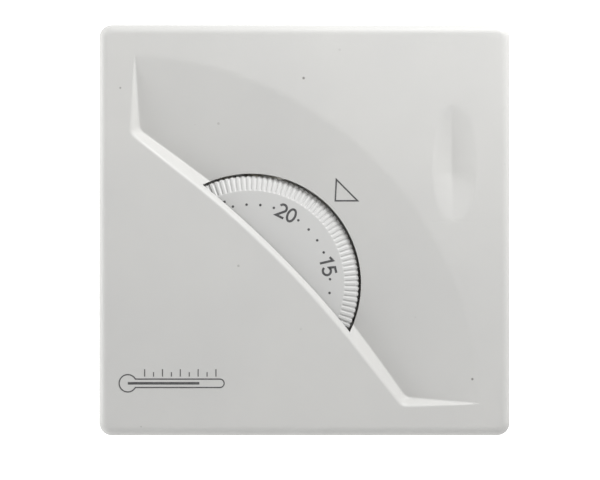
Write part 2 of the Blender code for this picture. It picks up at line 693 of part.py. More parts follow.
def make_wheel(shop):
    """Temperature wheel: ribbed shoulder, flat face, web, skirt, hub and stop lug."""
    face_radius = WHEEL_RADIUS - SHOULDER_WIDTH
    disc = grid_body([ribbed_ring(WHEEL_RADIUS, WHEEL_BACK),
                      ribbed_ring(WHEEL_RADIUS, WHEEL_FACE - SHOULDER_DROP),
                      ribbed_ring(face_radius, WHEEL_FACE)])
    web_under = WHEEL_FACE - WHEEL_WEB
    skirt_inside = WHEEL_RADIUS - WHEEL_WALL
    hollow = turned([(HUB_RADIUS, WHEEL_BACK - GAP), (skirt_inside, WHEEL_BACK - GAP),
                     (skirt_inside, web_under - SHOULDER_DROP / 2),
                     (face_radius - WHEEL_WALL, web_under), (HUB_RADIUS, web_under)], AROUND_DIAL, FINE)
    hub = rod(AROUND_DIAL, HUB_RADIUS, HUB_BOTTOM, WHEEL_FACE - WHEEL_WEB / 2, ROUND)
    bore = flatted(SPINDLE_TOP_RADIUS + HOLE_PLAY, SPINDLE_FLAT + HOLE_PLAY, HUB_BOTTOM - GAP, HUB_BORE_TOP)
    pivot = (DIAL_CENTRE, DIAL_CENTRE, 0.0)
    made = shop.piece("dial_wheel", "dial", disc, cut=[hollow], pivot=pivot)
    shop.combine(made, "UNION", [shop.tool("wheel_hub", hub), shop.tool("wheel_lug", stop_lug())])
    shop.combine(made, "DIFFERENCE", [shop.tool("wheel_bore", bore)])


def make_spindle(shop):
    """Spindle with its bush and nut."""
    barrel = rod(AROUND_DIAL, THREAD_RADIUS, SPINDLE_BOTTOM, SPINDLE_SHOULDER, ROUND)
    top = flatted(SPINDLE_TOP_RADIUS, SPINDLE_FLAT, SPINDLE_SHOULDER - GAP, SPINDLE_TOP)
    socket = rod(AROUND_DIAL, STUD_RADIUS + HOLE_PLAY, SPINDLE_BOTTOM - GAP, SPINDLE_BOTTOM + STUD_LENGTH)
    shop.piece("dial_spindle", "brass", barrel, joined=[top], cut=[socket],
               pivot=(DIAL_CENTRE, DIAL_CENTRE, SPINDLE_BOTTOM))
    bore = THREAD_RADIUS + RUNNING
    flange_top = BUSH_BOTTOM + BUSH_FLANGE_THICKNESS
    bush = [(bore, BUSH_BOTTOM), (BUSH_FLANGE_RADIUS, BUSH_BOTTOM), (BUSH_FLANGE_RADIUS, flange_top),
            (BUSH_RADIUS, flange_top), (BUSH_RADIUS, BUSH_TOP), (bore, BUSH_TOP)]
    shop.piece("spindle_bush", "brass", turned(bush, AROUND_DIAL))
    nut_hole = rod(AROUND_DIAL, BUSH_RADIUS + HOLE_PLAY, NUT_BOTTOM - GAP, NUT_TOP + GAP, ROUND)
    shop.piece("bush_nut", "zinc", hexagon(AROUND_DIAL, NUT_FLATS, NUT_BOTTOM, NUT_TOP), cut=[nut_hole])


# ---------------------------------------------------------------- bridge

def bridge_outline():
    """Section of the bent strip in y and z: foot, leg, top, leg, foot, anticlockwise."""
    t = BRIDGE_THICKNESS
    inside, outside = LEG_INSIDE, LEG_INSIDE + t
    end = outside + FOOT_LENGTH
    right = [(outside, FOOT_BOTTOM), (end, FOOT_BOTTOM), (end, FOOT_BOTTOM + t), (outside, FOOT_BOTTOM + t),
             (outside, BRIDGE_TOP)]
    left = [(-y, z) for y, z in reversed(right)]
    under = [(-inside, FOOT_BOTTOM), (-inside, BRIDGE_UNDERSIDE)]
    under += [(inside, BRIDGE_UNDERSIDE), (inside, FOOT_BOTTOM)]
    return [(DIAL_CENTRE + y, z) for y, z in right[1:] + left[:-1] + under]


def make_bridge(shop):
    """Steel bridge over the capsule, its screws and the wheel's limit pins."""
    half = BRIDGE_WIDTH / 2
    strip = plate_along_x(bridge_outline(), DIAL_CENTRE - half, DIAL_CENTRE + half)
    low, high = BRIDGE_UNDERSIDE - GAP, BRIDGE_TOP + GAP
    holes = [rod(AROUND_DIAL, BUSH_RADIUS + HOLE_PLAY, low, high, ROUND)]
    foot_top = FOOT_BOTTOM + BRIDGE_THICKNESS
    for place in foot_places():
        holes.append(rod(place, SCREW_SHANK + HOLE_PLAY, FOOT_BOTTOM - GAP, foot_top + GAP))
    for name, angle in (("limit_pin_low", LOW_PIN_ANGLE), ("limit_pin_high", HIGH_PIN_ANGLE)):
        place = round_dial(LIMIT_PIN_CIRCLE, angle)
        holes.append(rod(place, LIMIT_PIN_RADIUS + HOLE_PLAY, low, high))
        pin = rod(place, LIMIT_PIN_RADIUS, BRIDGE_UNDERSIDE, BRIDGE_TOP + LIMIT_PIN_HEIGHT)
        shop.piece(name, "zinc", pin)
    shop.piece("bridge_frame", "zinc", strip, cut=holes)
    for name, place in zip(("bridge_screw_upper", "bridge_screw_lower"), foot_places()):
        make_screw(shop, name, place, foot_top + GAP, BRIDGE_SCREW_LENGTH)


def make_screw(shop, name, place, seat, length, shank=SCREW_SHANK, finish="zinc"):
    """Slotted pan-head screw whose head rests at seat and whose shank runs towards the wall."""
    top = seat + SCREW_HEAD_HEIGHT
    edge = SCREW_HEAD_HEIGHT / 3
    profile = [(0.0, seat - length), (shank, seat - length), (shank, seat), (SCREW_HEAD_RADIUS, seat),
               (SCREW_HEAD_RADIUS, top - edge), (SCREW_HEAD_RADIUS - edge, top), (0.0, top)]
    half = SCREW_DRIVE / 2
    slot = box(place[0] - SCREW_HEAD_RADIUS - GAP, place[0] + SCREW_HEAD_RADIUS + GAP,
               place[1] - half, place[1] + half, seat + SCREW_HEAD_HEIGHT / 2, top + GAP)
    shop.piece(name, finish, turned(profile, place, SMALL), cut=[slot])


# ---------------------------------------------------------------- capsule

def corrugated(outer, low):
    """Wavy line of a diaphragm from near its middle out to its rim, as (radius, height)."""
    steps = 4 * CORRUGATION_COUNT
    inner = BUTTON_RADIUS + GAP
    line = []
    for i in range(steps + 1):
        radius = inner + (outer - inner) * i / steps
        phase = math.tau * CORRUGATION_COUNT * i / steps
        line.append((radius, low + CORRUGATION / 2 * (1 - math.cos(phase))))
    return line


def make_capsule(shop):
    """Vapour capsule: two corrugated shells, the stud into the spindle and the button on the lever."""
    pivot = (DIAL_CENTRE, DIAL_CENTRE, CAPSULE_TOP)
    rear_radius = CAPSULE_RADIUS - CAPSULE_SKIRT - GAP
    wave = corrugated(rear_radius, REAR_SHELL_BOTTOM)
    profile = [(0.0, REAR_SHELL_BOTTOM), *wave]
    profile += [(r, z + SHELL_THICKNESS) for r, z in reversed(profile)]
    shop.piece("capsule_rear", "capsule", turned(profile, AROUND_DIAL), pivot=pivot)
    inside_top = CAPSULE_TOP - SHELL_THICKNESS
    skirt_inside = CAPSULE_RADIUS - CAPSULE_SKIRT
    profile = [(0.0, inside_top), (skirt_inside, inside_top), (skirt_inside, REAR_SHELL_BOTTOM),
               (CAPSULE_RADIUS, REAR_SHELL_BOTTOM), (CAPSULE_RADIUS, CAPSULE_TOP - SHELL_THICKNESS),
               (CAPSULE_RADIUS - SHELL_THICKNESS, CAPSULE_TOP), (0.0, CAPSULE_TOP)]
    shop.piece("capsule_front", "capsule", turned(profile, AROUND_DIAL), pivot=pivot)
    flange_top = STUD_BOTTOM + STUD_FLANGE_THICKNESS
    stud_top = SPINDLE_BOTTOM + STUD_LENGTH - GAP
    stud = [(0.0, STUD_BOTTOM), (STUD_FLANGE_RADIUS, STUD_BOTTOM), (STUD_FLANGE_RADIUS, flange_top),
            (STUD_RADIUS, flange_top), (STUD_RADIUS, stud_top), (0.0, stud_top)]
    shop.piece("capsule_stud", "brass", turned(stud, AROUND_DIAL, SMALL), pivot=pivot)
    dome = BUTTON_THICKNESS / 2
    button = [(0.0, BUTTON_BOTTOM), (BUTTON_RADIUS / 2, BUTTON_BOTTOM), (BUTTON_RADIUS, BUTTON_BOTTOM + dome),
              (BUTTON_RADIUS, BUTTON_TOP), (0.0, BUTTON_TOP)]
    shop.piece("capsule_button", "brass", turned(button, AROUND_DIAL, SMALL), pivot=pivot)


# ---------------------------------------------------------------- lever

def lever_plan():
    """Plan of the lever: wide from the pivot, narrower at the tip."""
    left = PIVOT_X - LEVER_OVERHANG
    right = BLADE_X + CALIBRATION_NUT_FLATS / 2
    wide, narrow = LEVER_WIDTH / 2, LEVER_TIP_WIDTH / 2
    neck = right - LEVER_TIP_LENGTH
    lower = [(left, -wide), (neck - wide, -wide), (neck, -narrow), (right, -narrow)]
    upper = [(x, -y) for x, y in reversed(lower)]
    return [(x, DIAL_CENTRE + y) for x, y in lower + upper]


def make_lever(shop):
    """Steel lever with two ears, its pin, return spring and calibration screw."""
    pivot = (PIVOT_X, DIAL_CENTRE, PIVOT_HEIGHT)
    ears = []
    for side in (-1, 1):
        y0, y1 = sorted((DIAL_CENTRE + side * LEVER_WIDTH / 2,
                         DIAL_CENTRE + side * (LEVER_WIDTH / 2 - LEVER_THICKNESS)))
        ears.append(box(PIVOT_X - LEVER_OVERHANG, PIVOT_X + LEVER_OVERHANG, y0, y1,
                        PIVOT_HEIGHT - LEVER_OVERHANG, LEVER_BOTTOM + LEVER_THICKNESS / 2))
    reach = LEVER_WIDTH / 2 + GAP
    holes = [rod_along_y(PIVOT_X, PIVOT_HEIGHT, PIN_HOLE_RADIUS, DIAL_CENTRE - reach, DIAL_CENTRE + reach),
             rod((BLADE_X, DIAL_CENTRE), CALIBRATION_RADIUS + HOLE_PLAY, LEVER_BOTTOM - GAP, LEVER_TOP + GAP)]
    shop.piece("switch_lever", "spring", prism(lever_plan(), LEVER_BOTTOM, LEVER_TOP),
               joined=ears, cut=holes, pivot=pivot)
    reach = LEVER_WIDTH / 2 + 2 * GAP + POST_THICKNESS
    pin = rod_along_y(PIVOT_X, PIVOT_HEIGHT, PIN_RADIUS, DIAL_CENTRE - reach, DIAL_CENTRE + reach)
    shop.piece("lever_pin", "zinc", pin)
    make_spring(shop)
    place = (BLADE_X, DIAL_CENTRE)
    top = CALIBRATION_BOTTOM + CALIBRATION_LENGTH
    slot = box(place[0] - 2 * CALIBRATION_RADIUS, place[0] + 2 * CALIBRATION_RADIUS,
               place[1] - CALIBRATION_RADIUS / 4, place[1] + CALIBRATION_RADIUS / 4, top - CALIBRATION_RADIUS / 2,
               top + GAP)
    shop.piece("calibration_screw", "brass", rod(place, CALIBRATION_RADIUS, CALIBRATION_BOTTOM, top),
               cut=[slot], pivot=pivot)
    nut_low = LEVER_TOP + GAP
    hole = rod(place, CALIBRATION_RADIUS + HOLE_PLAY, LEVER_TOP, nut_low + 2 * CALIBRATION_NUT_THICKNESS)
    shop.piece("calibration_nut", "brass",
               hexagon(place, CALIBRATION_NUT_FLATS, nut_low, nut_low + CALIBRATION_NUT_THICKNESS),
               cut=[hole], pivot=pivot)


def make_spring(shop):
    """Coil spring between the base plate and the lever."""
    low = BASE_THICKNESS + GAP + SPRING_WIRE
    high = LEVER_BOTTOM - GAP - SPRING_WIRE
    steps = SPRING_TURNS * SPRING_STEPS
    rings = []
    for i in range(steps + 1):
        angle = math.tau * i / SPRING_STEPS
        outward = Vector((math.cos(angle), math.sin(angle), 0.0))
        centre = Vector((SPRING_X, DIAL_CENTRE, low + (high - low) * i / steps)) + outward * SPRING_RADIUS
        section = [(math.cos(t), math.sin(t)) for t in (math.tau * k / 6 for k in range(6))]
        rings.append([centre + SPRING_WIRE * (outward * c - Vector((0, 0, 1)) * s) for c, s in section])
    shop.piece("lever_spring", "spring", grid_body(rings))


# ---------------------------------------------------------------- switch

def block_parts():
    """Terminal deck, partitions, blade pedestal and plunger guide."""
    yield box(TERMINAL_DECK_LEFT, BLOCK_RIGHT, BLOCK_LOW_Y, BLOCK_HIGH_Y, BLOCK_BOTTOM, TERMINAL_DECK)
    for k in (-1.5, -0.5, 0.5, 1.5):
        y = TERMINAL_MIDDLE_Y + k * TERMINAL_PITCH
        yield box(TERMINAL_DECK_LEFT, BLOCK_RIGHT, y - PARTITION_THICKNESS / 2, y + PARTITION_THICKNESS / 2,
                  BLOCK_BOTTOM + GAP, TERMINAL_DECK + PARTITION_HEIGHT)
    yield box(BLADE_X - BLADE_WIDTH / 2, BLADE_X + BLADE_WIDTH / 2, BLADE_ANCHOR_Y - BLADE_WIDTH / 2,
              BLADE_ANCHOR_Y + BLADE_WIDTH / 2, BLOCK_BOTTOM + GAP, BLADE_BOTTOM - GAP)
    inside = BLADE_WIDTH / 2 + GAP
    yield box(BLADE_X - inside - GUIDE_WALL, BLADE_X + inside + GUIDE_WALL, DIAL_CENTRE - GUIDE_HALF_WIDTH,
              DIAL_CENTRE + GUIDE_HALF_WIDTH, BLOCK_BOTTOM + GAP, GUIDE_BOTTOM + GUIDE_THICKNESS)


def block_cuts():
    """Tunnel under the guide and the bores of plunger, rivet and screws."""
    inside = BLADE_WIDTH / 2 + GAP
    reach = GUIDE_HALF_WIDTH + GAP
    yield box(BLADE_X - inside, BLADE_X + inside, DIAL_CENTRE - reach, DIAL_CENTRE + reach,
              LOWER_DECK, GUIDE_BOTTOM)
    yield rod((BLADE_X, DIAL_CENTRE), PLUNGER_RADIUS + HOLE_PLAY, GUIDE_BOTTOM - GAP,
              GUIDE_BOTTOM + GUIDE_THICKNESS + GAP)
    yield rod((BLADE_X, BLADE_ANCHOR_Y), CONTACT_SHANK + HOLE_PLAY, LOWER_DECK, BLADE_BOTTOM)
    for k in (-1, 0, 1):
        yield rod((TERMINAL_X, TERMINAL_MIDDLE_Y + k * TERMINAL_PITCH), TERMINAL_SCREW_RADIUS + HOLE_PLAY,
                  TERMINAL_DECK - TERMINAL_SCREW_LENGTH, TERMINAL_DECK + GAP)
    for y in BLOCK_SCREW_YS:
        yield rod((TERMINAL_X, y), SCREW_SHANK + HOLE_PLAY, BLOCK_BOTTOM - GAP,
                  BLOCK_BOTTOM + BLOCK_SCREW_LENGTH)


def terminal_strip(y, arm_left, arm_bottom):
    """Section of a terminal: plate on the deck, step down its face, arm at its own level."""
    right = BLOCK_RIGHT - TERMINAL_SETBACK
    face = TERMINAL_DECK_LEFT - GAP
    t = TERMINAL_THICKNESS
    section = [(arm_left, arm_bottom), (face, arm_bottom), (face, TERMINAL_BOTTOM), (right, TERMINAL_BOTTOM),
               (right, TERMINAL_TOP), (face - t, TERMINAL_TOP), (face - t, arm_bottom + t),
               (arm_left, arm_bottom + t)]
    return plate_along_y(section, y - TERMINAL_WIDTH / 2, y + TERMINAL_WIDTH / 2)


def hooked_arm(start_y, low):
    """Arm that runs down beside the blade and turns in under or over its contact."""
    right = TERMINAL_DECK_LEFT - GAP
    left = right - ARM_WIDTH
    end = CONTACT_Y - CONTACT_RADIUS
    tip = BLADE_X - CONTACT_RADIUS - GAP
    outline = [(tip, end), (right, end), (right, start_y), (left, start_y),
               (left, CONTACT_Y + CONTACT_RADIUS), (tip, CONTACT_Y + CONTACT_RADIUS)]
    return prism(outline, low, low + TERMINAL_THICKNESS)


def terminal_holes(y, arm_y, arm_bottom):
    """Screw hole in the plate and rivet hole in the arm."""
    screw_hole = TERMINAL_SCREW_RADIUS + HOLE_PLAY
    yield rod((TERMINAL_X, y), screw_hole, TERMINAL_BOTTOM - GAP, TERMINAL_TOP + GAP)
    arm_top = arm_bottom + TERMINAL_THICKNESS
    yield rod((BLADE_X, arm_y), CONTACT_SHANK + HOLE_PLAY, arm_bottom - GAP, arm_top + GAP)


def make_terminals(shop):
    """The three bent brass terminals."""
    common_arm = BLADE_TOP + GAP
    strip = terminal_strip(COMMON_TERMINAL_Y, BLADE_X - BLADE_WIDTH / 2, common_arm)
    shop.piece("terminal_common", "brass", strip,
               cut=list(terminal_holes(COMMON_TERMINAL_Y, BLADE_ANCHOR_Y, common_arm)))
    arm_left = TERMINAL_DECK_LEFT - GAP - ARM_WIDTH
    low_arm = NO_ARM_BOTTOM
    strip = terminal_strip(TERMINAL_MIDDLE_Y, arm_left, low_arm)
    shop.piece("terminal_no", "brass", strip, joined=[hooked_arm(TERMINAL_MIDDLE_Y, low_arm)],
               cut=list(terminal_holes(TERMINAL_MIDDLE_Y, CONTACT_Y, low_arm)))
    right = BLOCK_RIGHT - TERMINAL_SETBACK
    plate = box(arm_left, right, NC_TERMINAL_Y - TERMINAL_WIDTH / 2, NC_TERMINAL_Y + TERMINAL_WIDTH / 2,
                TERMINAL_BOTTOM, TERMINAL_TOP)
    shop.piece("terminal_nc", "brass", plate, joined=[hooked_arm(NC_TERMINAL_Y, TERMINAL_BOTTOM)],
               cut=list(terminal_holes(NC_TERMINAL_Y, CONTACT_Y, TERMINAL_BOTTOM)))


def make_clamps(shop):
    """A wire clamp and a screw on each terminal."""
    clamp_bottom = TERMINAL_TOP + GAP
    clamp_top = clamp_bottom + CLAMP_THICKNESS
    for k, y in enumerate((NC_TERMINAL_Y, TERMINAL_MIDDLE_Y, COMMON_TERMINAL_Y), start=1):
        half = CLAMP_WIDTH / 2
        hole = rod((TERMINAL_X, y), TERMINAL_SCREW_RADIUS + HOLE_PLAY, clamp_bottom - GAP, clamp_top + GAP)
        plate = box(TERMINAL_X - half, TERMINAL_X + half, y - half, y + half, clamp_bottom, clamp_top)
        shop.piece(f"wire_clamp_{k}", "zinc", plate, cut=[hole])
        length = clamp_top + GAP - TERMINAL_DECK + TERMINAL_SCREW_LENGTH - GAP
        make_screw(shop, f"terminal_screw_{k}", (TERMINAL_X, y), clamp_top + GAP, length,
                   TERMINAL_SCREW_RADIUS, "brass")


def rivet(place, heights, radii):
    """Turned rivet: heights of its steps from the wall outwards and the radius of each stretch."""
    profile = [(0.0, heights[0])]
    for low, high, radius in zip(heights, heights[1:], radii):
        profile += [(radius, low), (radius, high)]
    return turned(profile + [(0.0, heights[-1])], place, SMALL)


def make_contacts(shop):
    """Blade with its rivet and the moving and fixed contacts."""
    hinge = (BLADE_X, BLADE_ANCHOR_Y, (BLADE_BOTTOM + BLADE_TOP) / 2)
    end = CONTACT_Y - CONTACT_RADIUS
    strip = box(BLADE_X - BLADE_WIDTH / 2, BLADE_X + BLADE_WIDTH / 2, end, BLADE_ANCHOR_Y + BLADE_WIDTH / 2,
                BLADE_BOTTOM, BLADE_TOP)
    holes = [rod((BLADE_X, y), CONTACT_SHANK + HOLE_PLAY, BLADE_BOTTOM - GAP, BLADE_TOP + GAP)
             for y in (BLADE_ANCHOR_Y, CONTACT_Y)]
    shop.piece("snap_blade", "copper", strip, cut=holes, pivot=hinge)
    heights = (MOVING_CONTACT_BOTTOM, BLADE_BOTTOM - GAP, BLADE_TOP + GAP, MOVING_CONTACT_TOP)
    moving = rivet((BLADE_X, CONTACT_Y), heights, (CONTACT_RADIUS, CONTACT_SHANK, CONTACT_RADIUS))
    shop.piece("moving_contact", "silver", moving, pivot=hinge)
    arm_top = BLADE_TOP + GAP + TERMINAL_THICKNESS
    headed = (CONTACT_SHANK, CONTACT_RADIUS)
    heights = (LOWER_DECK + GAP, arm_top + GAP, arm_top + GAP + CONTACT_HEAD)
    shop.piece("blade_rivet", "brass", rivet((BLADE_X, BLADE_ANCHOR_Y), heights, headed))
    heights = (NO_ARM_BOTTOM, NO_ARM_TOP + GAP, NO_CONTACT_TOP)
    shop.piece("contact_no", "silver", rivet((BLADE_X, CONTACT_Y), heights, headed))
    heights = (NC_CONTACT_BOTTOM, TERMINAL_BOTTOM - GAP, TERMINAL_TOP)
    shop.piece("contact_nc", "silver", rivet((BLADE_X, CONTACT_Y), heights, headed[::-1]))


def make_switch(shop):
    """Phenolic block with its fixing screws, plunger, contacts and terminals."""
    lower = box(BLOCK_LEFT, TERMINAL_DECK_LEFT + GAP, BLOCK_LOW_Y, BLOCK_HIGH_Y, BLOCK_BOTTOM, LOWER_DECK)
    shop.piece("switch_block", "phenolic", lower, joined=block_parts(), cut=block_cuts())
    plunger = rod((BLADE_X, DIAL_CENTRE), PLUNGER_RADIUS, PLUNGER_BOTTOM, PLUNGER_TOP)
    shop.piece("switch_plunger", "nylon", plunger, pivot=(BLADE_X, DIAL_CENTRE, PLUNGER_BOTTOM))
    for k, y in enumerate(BLOCK_SCREW_YS, start=1):
        place = (TERMINAL_X, y)
        tip = BLOCK_BOTTOM + BLOCK_SCREW_LENGTH - GAP
        heights = (GAP, SCREW_HEAD_HEIGHT, tip)
        reach, half = SCREW_HEAD_RADIUS + GAP, SCREW_DRIVE / 2
        slot = box(place[0] - reach, place[0] + reach, y - half, y + half, 0.0, GAP + SCREW_DRIVE)
        shop.piece(f"block_screw_{k}", "zinc",
                   rivet(place, heights, (SCREW_HEAD_RADIUS, SCREW_SHANK)), cut=[slot])
    make_contacts(shop)
    make_terminals(shop)
    make_clamps(shop)


def clear_scene():
    """Remove whatever the file holds."""
    for existing in list(bpy.data.objects):
        bpy.data.objects.remove(existing)


def main():
    """Build the thermostat from the wall outwards."""
    clear_scene()
    shop = Workshop()
    make_base(shop)
    make_switch(shop)
    make_lever(shop)
    make_capsule(shop)
    make_bridge(shop)
    make_spindle(shop)
    make_wheel(shop)
    make_cover(shop)


main()
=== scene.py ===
"""Looks of a wall thermostat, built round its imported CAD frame.

Shapes are worked out in the wall's own frame: x to the right, y up, z out of the wall, with the origin
in the middle of the base plate's back. In the world, z becomes -y and y becomes z. Sizes are in metres.
"""
from __future__ import annotations

import json
import logging
import math
from collections.abc import Callable, Sequence
from dataclasses import dataclass, field
from enum import Enum
from functools import cache

import bmesh
import bpy
import numpy as np
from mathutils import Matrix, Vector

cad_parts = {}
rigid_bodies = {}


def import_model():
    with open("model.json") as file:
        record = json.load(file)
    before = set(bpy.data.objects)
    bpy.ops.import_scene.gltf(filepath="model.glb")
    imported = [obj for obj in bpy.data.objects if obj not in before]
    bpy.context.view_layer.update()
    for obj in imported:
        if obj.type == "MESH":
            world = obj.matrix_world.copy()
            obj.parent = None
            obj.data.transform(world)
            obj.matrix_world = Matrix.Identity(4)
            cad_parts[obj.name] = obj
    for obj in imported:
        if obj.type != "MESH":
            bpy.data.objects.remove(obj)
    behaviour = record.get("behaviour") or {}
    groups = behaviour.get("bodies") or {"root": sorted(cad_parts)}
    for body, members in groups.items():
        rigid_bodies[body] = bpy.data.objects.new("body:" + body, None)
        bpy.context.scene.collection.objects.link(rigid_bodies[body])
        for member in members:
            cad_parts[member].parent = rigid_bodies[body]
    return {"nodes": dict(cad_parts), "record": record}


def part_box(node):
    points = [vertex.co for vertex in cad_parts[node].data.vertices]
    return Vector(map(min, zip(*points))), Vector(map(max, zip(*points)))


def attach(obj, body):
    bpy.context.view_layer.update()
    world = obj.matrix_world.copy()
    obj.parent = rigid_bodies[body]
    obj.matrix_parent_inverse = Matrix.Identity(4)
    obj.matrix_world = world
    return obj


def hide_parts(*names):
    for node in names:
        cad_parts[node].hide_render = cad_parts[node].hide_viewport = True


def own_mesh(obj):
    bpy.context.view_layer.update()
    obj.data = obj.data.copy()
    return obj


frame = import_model()

log = logging.getLogger("thermostat")
Array = np.ndarray
Field = Callable[[Array, Array], Array]
MM = 0.001
SKIRT_BACK = 30.2 * MM
WHEEL_GAP = 0.45 * MM
DOUBLES = 0.0001 * MM
SHARP_ANGLE = 40.0
BISECTIONS = 48
# Numbers of the mix node's sockets that carry colours.
MIX_FIRST = 6
MIX_SECOND = 7
MIX_RESULT = 2


# ---------------------------------------------------------------- numbers and meshes

def soft_min(a: Array, b: Array, width: Array | float) -> Array:
    """Smaller of two surfaces, rounded where they cross.

    With h = clip(1/2 + (b - a) / (2 width), 0, 1) it is b + (a - b) h - width h (1 - h).

    Args:
        a: First surface.
        b: Second surface.
        width: Height difference within which the two are blended.

    Returns:
        The blended surface.
    """
    share = np.clip(0.5 + 0.5 * (b - a) / width, 0.0, 1.0)
    return b + (a - b) * share - width * share * (1.0 - share)


def soft_max(a: Array, b: Array, width: Array | float) -> Array:
    """Larger of two surfaces, rounded as soft_min rounds the smaller one."""
    return -soft_min(-a, -b, width)


def soft_step(value: Array) -> Array:
    """Rise from 0 to 1 as value goes from 0 to 1: t^2 (3 - 2 t), with t the clipped value."""
    t = np.clip(value, 0.0, 1.0)
    return t * t * (3.0 - 2.0 * t)


def to_world(points: Array) -> Array:
    """Wall-frame points as world points: (x, y, z) becomes (x, -z, y)."""
    return np.stack([points[..., 0], -points[..., 2], points[..., 1]], axis=-1)


def to_wall(point: Sequence[float]) -> tuple[float, float, float]:
    """World point as a wall-frame point: (x, y, z) becomes (x, z, -y)."""
    return point[0], point[2], -point[1]


def wall_box(node: str) -> tuple[Array, Array]:
    """Lowest and highest corner of a CAD node in the wall's frame."""
    corners = np.array([to_wall(corner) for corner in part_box(node)])
    return corners.min(axis=0), corners.max(axis=0)


def axis_of(node: str) -> tuple[float, float]:
    """x and y of the middle of a CAD node's box."""
    low, high = wall_box(node)
    return (low[0] + high[0]) / 2, (low[1] + high[1]) / 2


def grid_quads(rows: int, columns: int, wrap_rows: bool = False, wrap_columns: bool = True) -> Array:
    """Corner numbers of the cells of a grid whose points are numbered row by row.

    Args:
        rows: Number of rows of points.
        columns: Points in a row.
        wrap_rows: Whether the last row joins the first.
        wrap_columns: Whether each row closes on itself.

    Returns:
        Array of shape (cells, 4).
    """
    numbers = np.arange(rows * columns).reshape(rows, columns)
    if wrap_rows:
        numbers = np.concatenate([numbers, numbers[:1]])
    if wrap_columns:
        numbers = np.concatenate([numbers, numbers[:, :1]], axis=1)
    cells = [numbers[:-1, :-1], numbers[:-1, 1:], numbers[1:, 1:], numbers[1:, :-1]]
    return np.stack(cells, axis=-1).reshape(-1, 4)


def bow(centre: tuple[float, float], reach: tuple[float, float], start: float, end: float,
        steps: int) -> Array:
    """Points centre + (rx cos a, ry sin a) for a from start to end.

    Args:
        centre: Middle of the ellipse.
        reach: Its half widths.
        start: First angle in degrees.
        end: Last angle in degrees.
        steps: Number of points.

    Returns:
        Array of shape (steps, 2).
    """
    turn = np.radians(np.linspace(start, end, steps))
    return np.stack([centre[0] + reach[0] * np.cos(turn), centre[1] + reach[1] * np.sin(turn)], axis=-1)


def fan(pole: int, ring: Array, outward: bool) -> Array:
    """Triangles from a pole point to a closed ring of point numbers.

    Args:
        pole: Number of the pole point.
        ring: Numbers of the ring's points in order.
        outward: Whether the triangles run in the ring's own direction.

    Returns:
        Array of shape (points in the ring, 3).
    """
    following = np.roll(ring, -1)
    pair = (ring, following) if outward else (following, ring)
    return np.stack([np.full_like(ring, pole), *pair], axis=-1)


def tidy(mesh: bpy.types.Mesh, distance: float, flatness: float = 0.0) -> None:
    """Merge a mesh's doubles, join its flat neighbours and shade it smooth.

    Args:
        mesh: The mesh.
        distance: Points closer than this are merged.
        flatness: Faces that turn by less than this many degrees are joined, or 0 to leave them.
    """
    shape = bmesh.new()
    shape.from_mesh(mesh)
    bmesh.ops.remove_doubles(shape, verts=shape.verts, dist=distance)
    if flatness > 0.0:
        bmesh.ops.dissolve_limit(shape, angle_limit=math.radians(flatness), verts=shape.verts,
                                 edges=shape.edges)
    shape.to_mesh(mesh)
    shape.free()
    mesh.shade_smooth()


def link_object(name: str, data: bpy.types.ID) -> bpy.types.Object:
    """Object that shows some data, linked to the scene.

    Args:
        name: Its name.
        data: Its mesh, light or camera.

    Returns:
        The object.
    """
    made = bpy.data.objects.new(name, data)
    bpy.context.scene.collection.objects.link(made)
    return made


def make_object(name: str, points: Array, faces: Sequence[Array],
                sharp: float = SHARP_ANGLE) -> bpy.types.Object:
    """Mesh object from wall-frame points.

    Args:
        name: The piece's name.
        points: Points of shape (..., 3) in the wall's frame.
        faces: Blocks of faces, each an array of point numbers.
        sharp: Edges that turn by more than this many degrees are shaded sharp.

    Returns:
        The object, at the origin.
    """
    mesh = bpy.data.meshes.new(name)
    polygons = [face for block in faces for face in block.tolist()]
    mesh.from_pydata(to_world(points.reshape(-1, 3)).tolist(), [], polygons)
    tidy(mesh, DOUBLES)
    mesh.set_sharp_from_angle(angle=math.radians(sharp))
    return link_object(name, mesh)


def lathe(name: str, centre: Sequence[float], profile: Sequence[tuple[float, float]], columns: int = 64,
          shape: Callable[[Array, Array, Array], tuple[Array, Array]] | None = None,
          sharp: float = SHARP_ANGLE) -> bpy.types.Object:
    """Closed turned piece: a profile carried round an axis that points out of the wall.

    A point is centre + (radius cos a, radius sin a) at its height, for a from 0 to a whole turn. The
    profile runs from the pole nearest the wall, outside first, and back to the axis at its other end,
    or round a bore and back to its start.

    Args:
        name: The piece's name.
        centre: x and y of the axis.
        profile: (radius, height) pairs; it closes on itself unless both ends have radius 0.
        columns: Steps in a turn.
        shape: Takes radius, height and angle arrays and gives new radius and height arrays.
        sharp: Angle in degrees above which an edge is shaded sharp.

    Returns:
        The object.
    """
    line = np.array(profile)
    poled = line[0, 0] == 0.0
    body = line[1:-1] if poled else line
    angle = np.linspace(0.0, math.tau, columns, endpoint=False)[None, :]
    radius = np.repeat(body[:, :1], columns, axis=1)
    height = np.repeat(body[:, 1:], columns, axis=1)
    if shape:
        radius, height = shape(radius, height, np.broadcast_to(angle, radius.shape))
    points = np.stack([centre[0] + radius * np.cos(angle), centre[1] + radius * np.sin(angle), height],
                      axis=-1)
    faces = [grid_quads(len(body), columns, wrap_rows=not poled)]
    points = points.reshape(-1, 3)
    if poled:
        ends = line[[0, -1], 1]
        if shape:
            ends = shape(np.zeros(2), ends, np.zeros(2))[1]
        poles = np.array([[*centre, ends[0]], [*centre, ends[1]]])
        count = len(points)
        ring = np.arange(columns)
        faces += [fan(count, ring, False), fan(count + 1, ring + count - columns, True)]
        points = np.concatenate([points, poles])
    return make_object(name, points, faces, sharp)


# ---------------------------------------------------------------- finishes

